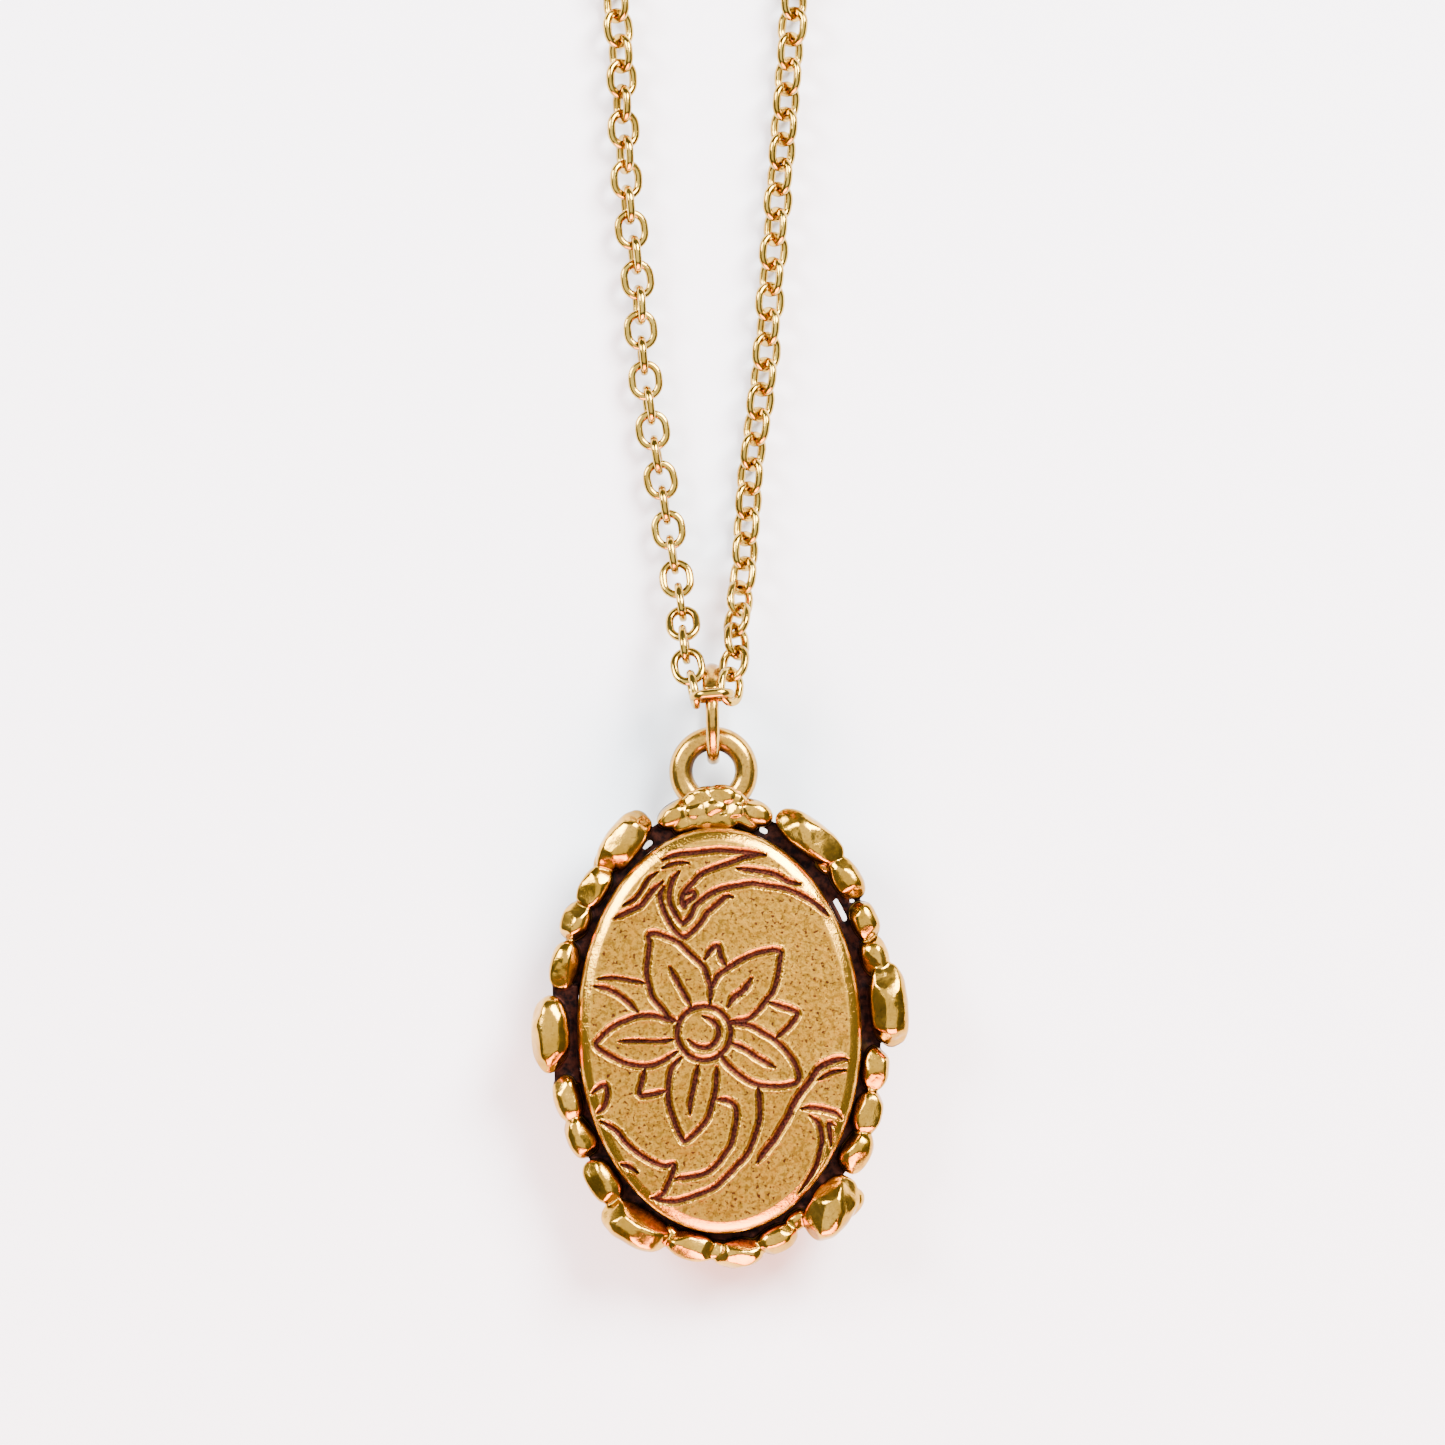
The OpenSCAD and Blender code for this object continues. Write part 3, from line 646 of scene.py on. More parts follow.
clasp_ring = wire_ring("clasp_ring_wire", middle_of("clasp_ring"), (1, 0, 0), CLASP_RING_R,
                       CLASP_RING_WIRE, chain_gold)
place(clasp_ring, "chain", "chain_gold", "clasp_ring")
clasp_body = soften("clasp_body", "clasp_claw", chain_gold, 0.16)
place(clasp_body, "chain", "chain_gold", "clasp_body")
clasp_lever = soften("clasp_lever", "clasp_trigger", chain_gold, 0.12)
clasp_lever.data.transform(Matrix.Translation(LEVER_PIVOT) @ Matrix.Scale(LEVER_SCALE, 4)
                           @ Matrix.Translation(-LEVER_PIVOT))
place(clasp_lever, "lever", "chain_gold", "clasp_lever")
clasp_pin = soften("clasp_pin", "clasp_rivet", pin_steel, 0.05)
place(clasp_pin, "chain", "pin_steel", "clasp_pin")
end_ring_r = (END_RING_OD - END_RING_WIRE) / 2
end_tilt = math.asin(END_RING_LIFT / (END_RING_OD - END_RING_WIRE))
end_ring = wire_ring("end_ring_wire", middle_of("end_ring"),
                     (0, -math.sin(end_tilt), math.cos(end_tilt)), end_ring_r, END_RING_WIRE,
                     chain_gold, joint=200)
place(end_ring, "chain", "chain_gold", "end_ring")
coat(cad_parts["clasp_spring"].data, pin_steel)

# %% [markdown]
# ### The tie
# A folded strand springs apart unless something holds it. A strip of thin card round both hanks
# does that here. It is a flat loop with rounded ends, swept along the chain, with a lapped end
# stuck down on top and edges that curl up a little.

# %% The tie round the hanks
TIE_WALL = 0.12
LAP_FROM, LAP_TO, LAP_MARGIN, LAP_STEPS = -3, 4, 0.15, 12
LAP_T, LAP_CURL = 0.02, 0.10     # the stuck end's thickness, and how far its tip has lifted


def band_outline(half, r):
    """Points round a flat bar with round ends, in X and Z."""
    right = [(half + r * math.cos(a), r * math.sin(a))
             for a in np.linspace(-math.pi / 2, math.pi / 2, 14)]
    top = [(x, r) for x in np.linspace(half, -half, 24)[1:-1]]
    left = [(-x, -z) for x, z in right]
    bottom = [(-x, -z) for x, z in top]
    return right + top + left + bottom


def make_tie():
    low, high = ([x / MM for x in corner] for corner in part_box("hank_tie"))
    half, r_out, half_y = ((high[k] - low[k]) / 2 for k in (0, 2, 1))
    middle_y, middle_z = (low[1] + high[1]) / 2, (low[2] + high[2]) / 2
    outer, inner = (band_outline(half - r_out, r) for r in (r_out, r_out - TIE_WALL))
    rows = []
    for t in np.linspace(-1, 1, 7):
        curl = 1 + 0.0005 * t ** 4
        rows.append([(x * curl, middle_y + t * half_y, middle_z + z) for x, z in outer])
    for t in np.linspace(1, -1, 7):
        rows.append([(x, middle_y + t * half_y, middle_z + z) for x, z in inner])
    points = [p for row in rows for p in row]
    faces = wall_faces(len(rows), len(outer), close_rows=True)
    base, y0, y1, z = len(points), low[1] + LAP_MARGIN, high[1] - LAP_MARGIN, high[2]
    for x in np.linspace(LAP_FROM, LAP_TO, LAP_STEPS):
        lift = LAP_T + LAP_CURL * smoothstep(LAP_TO - 1, LAP_TO, x)
        points += [(x, y0, z), (x, y1, z), (x, y1, z + lift), (x, y0, z + lift)]
    faces += wall_faces(LAP_STEPS, 4, start=base)
    last = base + 4 * (LAP_STEPS - 1)
    faces += [(base + 3, base + 2, base + 1, base), tuple(range(last, last + 4))]
    print("tie: %.1f mm round the hanks, %.1f mm wide" % (2 * half, 2 * half_y))
    return make_piece("hank_tie_strip", points, faces, blank_card, smooth=False)


place(make_tie(), "chain", "blank_card", "hank_tie")

# %% [markdown]
# ### The cords
# The two strands are free cords: they have a true length and thickness and lie where they fall.
# Each one moves with the chain and takes the place of its side's CAD run and hank.

# %% Cords
LEFT_FITTINGS = [clasp_ring, clasp_body, clasp_lever, clasp_pin, "clasp_spring"]
for strand, line, start, side, far_end, pieces in (
        (left_strand, left_line, EXIT_LEFT, "left", "connector", LEFT_FITTINGS),
        (right_strand, right_line, EXIT_RIGHT, "right", "fitting", [end_ring])):
    place(strand, "chain", "chain_gold", "chain_%s_run" % side, "chain_%s_hank" % side)

# %% [markdown]
# ## The oval walls
# The case is pressed from thin sheet over an oval die, so everything in it is an oval wall: a
# profile that goes round at a constant distance inside the outline. A lathe (the Screw modifier)
# only makes round ones, and scaling a round one makes its walls thicker at the ends. This helper
# builds each ring of points directly on an oval, so the sheet keeps its thickness, and every
# rim can have the small rounded edge that catches light.

# %% Turning a profile round the oval
CASE_A, CASE_B = 7.95, 11.35     # half width and half height of the case
OVAL_POINTS = 224


def oval_ring(half_width, half_height, z, count):
    a = round_angles(count)
    return np.column_stack([half_width * np.cos(a), half_height * np.sin(a),
                            np.full(count, float(z))])


def case_ring(inset, z):
    """A ring of points at one distance inside the case's outline."""
    return oval_ring(CASE_A - inset, CASE_B - inset, z, OVAL_POINTS)


def round_corners(profile, size, steps=3):
    """Cuts each corner of a profile with a small arc of about `size` millimetres."""
    out = []
    for before, here, after in zip([profile[-1]] + profile[:-1], profile,
                                   profile[1:] + [profile[0]]):
        p, b, a = (np.array(q, float) for q in (here, before, after))
        cut = [p + (q - p) * min(size / max(np.linalg.norm(q - p), 1e-6), 0.45) for q in (b, a)]
        for t in np.linspace(0, 1, steps + 1):
            out.append(tuple((1 - t) ** 2 * cut[0] + 2 * t * (1 - t) * p + t * t * cut[1]))
    return out


def oval_wall(name, profile, finish, bevel):
    """Sweeps a closed profile of (inset, height) round the oval."""
    rings = [case_ring(*corner) for corner in round_corners(profile, bevel)]
    piece = make_piece(name, np.vstack(rings), wall_faces(len(rings), OVAL_POINTS, close_rows=True),
                       finish)
    piece.data.set_sharp_from_angle(angle=math.radians(50))
    return piece

# %% [markdown]
# ### The back shell
# The back is a shallow tray with a small chamfer where it rests on the table. A thumbnail notch is
# filed in its rim on the side away from the hinge. The notch is part of the wall, so the rows of
# points near the rim are pushed inwards over its length instead of being cut afterwards.

# %% The back shell
SHEET, SEAM = 0.45, 2.8          # the metal's thickness, and the height where the cover closes
BACK_EDGE, BACK_BELLY = 0.4, 1.4
EASE = 0.05                      # how much a crisp edge is eased
FLOOR_IN = 6                     # where the walls stop and the flat floor is filled in
NOTCH_L, NOTCH_H, NOTCH_IN, NOTCH_SOFT = 3.0, 0.35, 0.27, 0.06


def make_back():
    z_notch = SEAM - NOTCH_H
    outside = [(SHEET + FLOOR_IN, 0.0), (BACK_EDGE + 0.06, 0.0), (BACK_EDGE - 0.06, 0.045),
               (0.05, BACK_EDGE - 0.06), (0.0, BACK_EDGE + 0.08), (0.0, BACK_BELLY),
               (0.0, z_notch - 0.03), (0.0, z_notch + 0.03), (0.0, SEAM - EASE), (EASE, SEAM)]
    inside = [(SHEET - EASE, SEAM), (SHEET, SEAM - EASE), (SHEET, SHEET + 0.1),
              (SHEET + 0.1, SHEET), (SHEET + FLOOR_IN, SHEET)]
    rings = np.array([case_ring(*corner) for corner in outside + inside])
    x, y, z = rings.reshape(-1, 3).T
    edge = smoothstep(NOTCH_L / 2 + NOTCH_SOFT, NOTCH_L / 2 - NOTCH_SOFT, np.abs(y))
    x -= edge * (x > CASE_A - 0.2) * (z > z_notch) * NOTCH_IN
    print("back shell: %d rings, sheet %.2f mm" % (len(rings), SHEET))
    return closed_stack("back_shell", rings, case_gold, 35)


place(make_back(), "pendant", "case_gold", "back_case")

# %% [markdown]
# ### The band, the picture frames, the windows and the cards
# Inside, each half holds a card under a clear window under a snap-in frame, and the back half has
# a thin band that the cover closes over. All of them are oval walls with small rounded edges.
# The frames get a shallow step round the opening, as pressed ones have.

# %% Inside the case
BAND_OUT, BAND_WALL, LIP_H = 0.50, 0.35, 0.5
CARD_T, WINDOW_T, FRAME_H, OPENING = 0.2, 0.25, 0.8, 2.0
STEP_W, STEP_SLOPE, STEP_H = 0.45, 0.12, 0.22        # the step round a picture frame's opening
SNAP = 0.03                      # play between a frame and what it snaps into
CEILING = 4.7                    # inside of the cover
BEVEL_W = 0.75
band_in = BAND_OUT + BAND_WALL

lip_band = oval_wall("lip_band_wall", [(BAND_OUT, SHEET), (BAND_OUT, SEAM + LIP_H),
                                       (band_in, SEAM + LIP_H), (band_in, SHEET)],
                     case_gold, bevel=0.09)
place(lip_band, "pendant", "case_gold", "lip_band")


def picture_frame(name, outer, back_z, front_z):
    """back_z is the side against the window, front_z the side that shows."""
    step_z = front_z + (STEP_H if back_z > front_z else -STEP_H)
    profile = [(outer, back_z), (outer, front_z), (OPENING - STEP_W, front_z),
               (OPENING - STEP_W + STEP_SLOPE, step_z), (OPENING, step_z), (OPENING, back_z)]
    return oval_wall(name, profile, case_gold, bevel=0.06)


back_window_z = SHEET + CARD_T
place(picture_frame("back_picture_frame", band_in + SNAP, back_window_z + WINDOW_T,
                    back_window_z + WINDOW_T + FRAME_H), "pendant", "case_gold", "photo_frame_back")
front_window_z = CEILING - CARD_T
place(picture_frame("front_picture_frame", SHEET + SNAP, front_window_z - WINDOW_T,
                    front_window_z - WINDOW_T - FRAME_H), "cover", "case_gold", "photo_frame_front")


def oval_sheet(name, node, finish, body, slot, edge):
    """A flat oval that fills a CAD node's box, with a small rounded edge."""
    low, high = (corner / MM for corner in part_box(node))
    profile = (edge, low.z), (0, low.z + edge), (0, high.z - edge), (edge, high.z)
    rings = [oval_ring(high.x - shrink, high.y - shrink, z, 160) for shrink, z in profile]
    return place(closed_stack(name, rings, finish, 30), body, slot, node)


for half_name, body in (("back", "pendant"), ("front", "cover")):
    oval_sheet(half_name + "_window", "window_" + half_name, clear_window, body,
               "clear_window", 0.04)
    oval_sheet(half_name + "_card", "photo_card_" + half_name, blank_card, body,
               "blank_card", 0.015)

# %% [markdown]
# ### The hinge, the catch, the bail and the rings
# The knuckles and the pin keep their CAD shape with softened edges. The bail is a thick ring of
# polished wire whose section is a little squared, soldered to the case by a short neck. The jump
# ring is open wire bent shut: its cut ends meet in a fine line on top, and the pliers left that
# part a little wide.

# %% Hinge and catch
for node, name, body, finish, slot, width in (
        ("hinge_knuckles_back", "back_knuckles", "pendant", case_gold, "case_gold", 0.05),
        ("hinge_knuckle_front", "cover_knuckle", "cover", case_gold, "case_gold", 0.05),
        ("hinge_pin", "hinge_rod", "pendant", pin_steel, "pin_steel", 0.04),
        ("catch_bead", "catch_stud", "pendant", case_gold, "case_gold", 0.04)):
    place(soften(node, name, finish, width), body, slot, node)

# %% The bail
BAIL_WIRE, BAIL_HOLE = 1.32, 2.36
BAIL_Y, BAIL_Z = 14.5, 2.5
NECK_W, NECK_H, NECK_DOWN = 0.72, 0.45, 0.1
NECK = ((-0.15, 1.25), (0.1, 1.05), (0.35, 1.0), (0.6, 1.15), (0.85, 1.35))    # y and swell


def make_bail():
    """The ring and its neck as one piece, darkened inside the ring as painted shade and patina,
    most on its upper side, and darkened where they meet.
    """
    ring = wire_ring("bail", (0, BAIL_Y, BAIL_Z), (0, 0, 1), (BAIL_HOLE + BAIL_WIRE) / 2,
                     BAIL_WIRE, bail_gold, around=120, tube=28, squareness=0.05,
                     shape=lambda a: (1 + 0.015 * math.sin(3 * a), 1 + 0.02 * math.cos(2 * a + 1)))
    a = round_angles(28)
    rings = [np.column_stack([NECK_W * swell * np.cos(a), np.full(len(a), CASE_B + y),
                              BAIL_Z - NECK_DOWN + NECK_H * swell * np.sin(a)])
             for y, swell in NECK]
    neck = closed_stack("neck", rings, bail_gold)
    bm = bmesh.new()
    bm.from_mesh(ring.data)
    bm.from_mesh(neck.data)
    bm.to_mesh(ring.data)
    bm.free()
    bpy.data.objects.remove(neck)
    ring.data.shade_smooth()
    x, y, _ = (np.array([v.co for v in ring.data.vertices]) / MM).T
    # Painted shade and patina: the ring's inside is darkened, most on its upper side; the foot
    # where ring and neck meet is darkened too.
    inside = smoothstep(BAIL_HOLE / 2 + 0.42, BAIL_HOLE / 2 + 0.05, np.hypot(x, y - BAIL_Y))
    upper = 0.25 + 0.75 * smoothstep(-0.7, 0.7, y - BAIL_Y - 0.4 * x)
    foot = smoothstep(BAIL_Y - 1.3, BAIL_Y - 1.9, y)
    paint(ring.data, "patina_and_painted_shade", np.clip(0.95 * inside * upper + 0.8 * foot, 0, 1))
    return ring


place(make_bail(), "pendant", "bail_gold", "bail_ring")

# %% Jump ring and centre link
RING_WIRE, RING_OD = 0.74, 5.7
RING_JOINT = 60.0                # degrees up from the table on the side away from the bail
PINCH_OUT, PINCH_SIDE = 0.06, 0.42   # how much thinner and how much wider the pliers made it


def pinched(angle):
    """The jump ring's wire is wider across on one side of its joint, where pliers held it."""
    near = float(smoothstep(-30, 0, math.degrees(around_zero(angle)))
                 * smoothstep(RING_JOINT + 3, RING_JOINT - 2, math.degrees(angle)))
    return 1 - PINCH_OUT * near, 1 + PINCH_SIDE * near


jump_ring = wire_ring("jump_ring_wire", middle_of("jump_ring"), (1, 0, 0),
                      (RING_OD - RING_WIRE) / 2, RING_WIRE, bail_gold, around=128, tube=24,
                      squareness=0.12, joint=RING_JOINT, shape=pinched)
place(jump_ring, "ring", "chain_gold", "jump_ring")

CENTRE_L, CENTRE_W, CENTRE_WIRE = 2.56, 2.0, 0.50
CENTRE_YAW, CENTRE_TILT = 4, 80  # degrees
CENTRE_AROUND, CENTRE_TUBE = 40, 16
turned = (Matrix.Rotation(math.radians(CENTRE_YAW), 3, "Z")
          @ Matrix.Rotation(math.radians(CENTRE_TILT), 3, "X"))
centre = (link_points(CENTRE_L, CENTRE_W, CENTRE_WIRE, CENTRE_AROUND, CENTRE_TUBE)
          @ np.array(turned).T + np.array(middle_of("centre_link")))
place(make_piece("centre_link_wire", centre,
                 wall_faces(CENTRE_AROUND, CENTRE_TUBE, close_rows=True), chain_gold),
      "link", "chain_gold", "centre_link")
print("rings: bail %.2f mm wire, jump ring %.2f mm wire" % (BAIL_WIRE, RING_WIRE))

# %% [markdown]
# ## The engraved cover
# The face is a low dome inside a bright bevel, and a flower on a long stem is cut into it. An
# engraver's line is a V-shaped trench: one wall faces the light and flashes, the other is dark, and
# the bottom holds brown patina. A bump map would fake this only from straight above, so the
# trenches are real geometry here: the face is a fine sheet of points, and each point sinks by how
# close it lies to the nearest stroke.
#
# Each stroke is a list of places on the face that a smooth curve is drawn through. The first
# number is how wide its cut is.

# %% The strokes: the flower
WIDE, MEDIUM, FINE = 0.58, 0.49, 0.37
FLOWER = [
    (MEDIUM, (-2.2, .55), (-2.8, .8), (-3.2, 1.35), (-3.7, 1.95), (-3.9, 2.7), (-4, 3.4),
     (-3.9, 4.15), (-3.8, 4.9), (-3.85, 5.35), (-3.55, 5.55), (-2.8, 5.3), (-2.2, 5),
     (-1.85, 4.65), (-1.35, 4.15), (-.8, 3.6), (-.6, 3), (-.45, 2.4), (-.5, 1.55)),
    (MEDIUM, (-2.7, 3.65), (-2.4, 3), (-1.95, 2.15), (-1.55, 1.4)),
    (MEDIUM, (-.75, 4), (-.35, 4.55), (0, 4.75), (.2, 4.05), (.5, 3.5)),
    (MEDIUM, (-.45, 2.25), (0, 3.1), (.65, 3.55), (1.4, 4), (2.2, 4.3), (3.05, 4.45), (3.5, 4.3),
     (3.45, 3.75), (3.3, 2.9), (3.05, 2.15), (2.65, 1.65), (2.1, 1), (1.5, .6), (.65, .55)),
    (WIDE, (1.85, 2.9), (1.4, 2.25), (.85, 1.85), (.5, 1.35)),
    (MEDIUM, (2.75, 1.55), (3.45, 1.3), (4.35, .9), (4, .3), (3.55, -.15), (3.1, -.5)),
    (MEDIUM, (-.9, .85), (-.3, .5), (-.05, 0), (-.2, -.55), (-.7, -.9), (-1.35, -.8),
     (-1.75, -.45)),
    (MEDIUM, (.65, .4), (1.6, .3), (2.4, -.15), (3.05, -.55), (3.65, -1.15), (4.15, -1.9),
     (4.35, -2.85), (3.45, -3.15), (2.4, -3.1), (1.6, -2.85), (.85, -2.3), (.25, -1.7), (0, -1.15)),
    (MEDIUM, (.55, -.65), (1.4, -1.05), (2.2, -1.6), (3.05, -2.1)),
    (MEDIUM, (-2.15, -1.4), (-2.7, -2), (-2.9, -2.85), (-2.95, -3.65), (-2.9, -4.15), (-2.65, -5),
     (-2.3, -5.85), (-2.05, -6.1), (-1.45, -5.65), (-.8, -4.9), (-.5, -4.05), (-.3, -3.35),
     (-.25, -2.85), (-.2, -2)),
    (MEDIUM, (-1.25, -1.9), (-1.45, -2.85), (-1.7, -3.9), (-1.75, -4.6)),
    (MEDIUM, (-2.6, .55), (-3.5, .9), (-4.45, .95), (-5.1, .75), (-5.9, .4), (-6.65, -.25),
     (-6.9, -.7), (-6.15, -1.25), (-5.2, -1.7), (-4.05, -1.85), (-3.2, -1.6), (-2.4, -1.1)),
    (FINE, (-5.65, -.45), (-4.55, -.45), (-3.4, -.5), (-2.5, -.4))]
CENTRE_RING = (MEDIUM, -0.87, -0.1, 1.5)     # width of cut, middle and radius

# %% The strokes: leaves, stem and scrolls
SCROLLS = [
    (MEDIUM, (-3, 9.6), (-2.2, 9.9), (-.9, 10), (.1, 10.1), (1.2, 10), (2, 9.9), (2.8, 9.75)),
    (MEDIUM, (2.6, 9.8), (1.7, 9.7), (1, 9.45), (-.1, 9.1), (-.8, 8.8), (-1.3, 8.3), (-1.75, 7.85),
     (-1.95, 7.4), (-1.85, 7), (-1.6, 7.3), (-1.25, 7.5), (-1.3, 7.8), (-1.8, 7.65)),
    (FINE, (-3, 9.15), (-2.4, 9.4), (-1.75, 9.45), (-1.5, 9.4)),
    (FINE, (-5.25, 7.1), (-4.55, 7.5), (-4.1, 8.05), (-3.75, 8.6), (-3.25, 8.95)),
    (MEDIUM, (-5.75, 6.4), (-4.9, 6.8), (-4.25, 7.1), (-3.8, 7.6), (-3.4, 8.05), (-3, 8.4)),
    (MEDIUM, (-2.9, 8.15), (-3.15, 7.65), (-3.05, 7.1), (-2.8, 6.4), (-2.4, 5.7), (-1.9, 5.3),
     (-1.35, 5.6), (-.8, 6.2), (-.55, 6.6), (0, 7.05), (.55, 7.5), (.9, 7.45)),
    (MEDIUM, (-2.05, 8.95), (-2.4, 8.5), (-2.6, 7.85), (-2.6, 7.2), (-2.4, 6.7), (-1.95, 6.1),
     (-1.45, 6.45), (-1.2, 7), (-.8, 7.35), (-.3, 7.7), (.35, 7.95), (1.2, 8.1), (2, 8.2),
     (2.85, 8.05), (3.75, 7.9), (4.5, 7.6), (5.35, 7.1), (5.95, 6.6), (6.4, 6.2)),
    (MEDIUM, (1.2, 9.05), (2, 8.95), (2.85, 8.8), (3.45, 8.6), (4, 8.25), (4.7, 8.1)),
    (FINE, (-6.75, 3.05), (-5.9, 3.1), (-5, 2.95), (-4, 2.75)),
    (MEDIUM, (-6.95, 2.65), (-6.25, 2.5), (-5.6, 2.15), (-5, 1.65), (-4.55, 1.15)),
    (MEDIUM, (-4.2, -2), (-4.4, -2.75), (-4.55, -3.45), (-3.85, -3.45), (-3, -3.25)),
    (MEDIUM, (-7.2, -3.35), (-6.85, -3.05), (-6.45, -2.9), (-6.35, -3.45), (-6.55, -4.1),
     (-7, -4.5)),
    (MEDIUM, (-.3, -3.8), (.35, -3.9), (.75, -4.2), (.85, -4.8), (.7, -5.6), (.5, -6.35), (.05, -7),
     (-.3, -7.45), (-.9, -7.9), (-1.75, -8.1), (-2.7, -8.2)),
    (MEDIUM, (2.1, -3.1), (2.15, -4.05), (2.1, -5.1), (1.8, -6.05), (1.4, -6.9), (.85, -7.5),
     (.25, -8.1), (-.5, -8.75), (-1.55, -9.15), (-2.6, -9.45), (-3.5, -9.4), (-4, -9.25)),
    (MEDIUM, (-6.75, -4.9), (-5.9, -5.45), (-5.4, -6.1), (-4.8, -6.65), (-4.05, -7.15),
     (-3.3, -7.45), (-2.75, -7.4), (-2.8, -7.9), (-3.1, -8.55), (-3.4, -9.05), (-4, -9.3)),
    (MEDIUM, (-5.85, -7.35), (-5.3, -7.45), (-4.75, -7.8)),
    (WIDE, (1.95, -7.4), (2.4, -6.75), (2.95, -6.1), (3.35, -5.45), (3.75, -4.8), (4, -4.25),
     (4.5, -3.5), (5, -2.9), (5.45, -2.25), (6.05, -1.9), (6.7, -1.72), (7.1, -1.78)),
    (FINE, (5.45, -2.85), (6.25, -2.45), (7, -2.35)),
    (MEDIUM, (4.5, -4.45), (5, -4.4), (5.65, -4.5), (6.4, -4.75), (6.75, -5.1)),
    (MEDIUM, (4.95, -4.85), (5.4, -5.3), (5.6, -6.15), (5.45, -6.9), (5.25, -7.6), (4.85, -8.3),
     (4.5, -8.85), (4.2, -9.2)),
    (MEDIUM, (6.3, -5.45), (6.0, -5.3), (6.05, -5.95), (6.1, -6.6))]
print("strokes:", len(FLOWER) + len(SCROLLS) + 1)

# %% [markdown]
# ### How deep is each point?
# For every stroke the curve is cut into short straight bits. A point's distance to a bit, divided
# by half the cut's width there, is 0 on the line and 1 at the lip. A real cut tapers where the
# tool goes in and comes out, and its edge wanders a little, so the width is tapered at both ends
# and noise is added. Only points near a stroke are measured, which keeps this to a second or two.

# %% Distance to the strokes
GROOVE_DEPTH, LIP_HEIGHT = 0.17, 0.022
TAPER, POINTED = 0.55, 0.45      # a stroke's end narrows to this share over this length
NEAR = 0.7                       # no cut reaches further than this from its line


def stroke_line(stroke):
    line = smooth_line([(x, y, 0) for x, y in stroke[1:]], 0.08)[:, :2]
    reach = distance_along(line)
    ends = np.minimum(reach, reach[-1] - reach)
    return line, stroke[0] / 2 * (POINTED + (1 - POINTED) * smoothstep(0, TAPER, ends))


def cut_depths(xy):
    """For each point, how far it is across the nearest cut: 0 in the middle, 1 at the lip."""
    nearest = np.full(len(xy), 9.0)
    width, x0, y0, r = CENTRE_RING
    a = np.linspace(0, math.tau, 90)
    circle = np.column_stack([x0 + r * np.cos(a), y0 + r * np.sin(a)])
    lines = [stroke_line(s) for s in FLOWER + SCROLLS] + [(circle, np.full(90, width / 2))]
    for line, half_width in lines:
        low, high = line.min(0) - NEAR, line.max(0) + NEAR
        near = np.flatnonzero(((xy > low) & (xy < high)).all(1))
        for k in range(len(line) - 1):
            p, q = line[k], line[k + 1]
            box = near[(np.abs(xy[near] - (p + q) / 2) < NEAR).all(1)]
            if not len(box):
                continue
            d = q - p
            t = np.clip((xy[box] - p) @ d / max(d @ d, 1e-12), 0, 1)
            away = np.linalg.norm(xy[box] - p - t[:, None] * d, axis=1)
            across = away / (half_width[k] * (1 - t) + half_width[k + 1] * t)
            nearest[box] = np.minimum(nearest[box], across)
    return nearest

# %% [markdown]
# ### The sheet of points
# A grid of squares is bent into an oval by pulling its corners in. That keeps the small squares
# nearly even all over the face, where rings round a middle point would crowd there and thin out
# at the rim. The bevel, the side wall and the inside are further rows built on the grid's edge, so
# the cover is one closed shell of sheet metal.

# %% Making the cover
BEVEL_H, CROWN, TOP = 0.7, 0.25, 5.4
RIM_Z = TOP - CROWN
GRID_X, GRID_Y = 300, 420
# How far the rolled edge has dropped at each distance from the outer wall, and how rubbed it is;
# the rubbed share also lightens its colour as a painted highlight.
BEVEL = ((0.68, 0.012), (0.60, 0.045), (0.50, 0.09), (0.38, 0.145), (0.26, 0.21), (0.15, 0.30),
         (0.07, 0.41), (0.02, 0.54), (0.0, BEVEL_H))
RUBBED_AND_HIGHLIGHT = (0.4, 0.8, 1, 1, 1, 0.8, 0.5, 0.2, 0)
SHEET_EDGE = 0.26                # the fine sheet of points ends this far inside the wall
RIM_GAP = 0.02                   # the closed cover's rim stays this far above the back's
# The lips of a cut are rubbed by wear, and they are also lightened as a painted highlight.
GROOVE_PATINA, LIP_RUB_AND_HIGHLIGHT = 0.74, 0.6   # where in a cut the patina starts, how rubbed its lips are


def wander(points, size, seed=0.0):
    """Smooth noise from -1 to 1 at points given in millimetres, in lumps of about `size`."""
    return np.array([noise.noise(Vector((x / size, y / size, z / size + seed)))
                     for x, y, z in points])


def insets_of(xy):
    """How far each point lies inside the case's wall, found by halving."""
    low, high = np.zeros(len(xy)), np.full(len(xy), 2.0)
    for _ in range(20):
        middle = (low + high) / 2
        past = (xy[:, 0] / (CASE_A - middle)) ** 2 + (xy[:, 1] / (CASE_B - middle)) ** 2 > 1
        low, high = np.where(past, low, middle), np.where(past, middle, high)
    return low


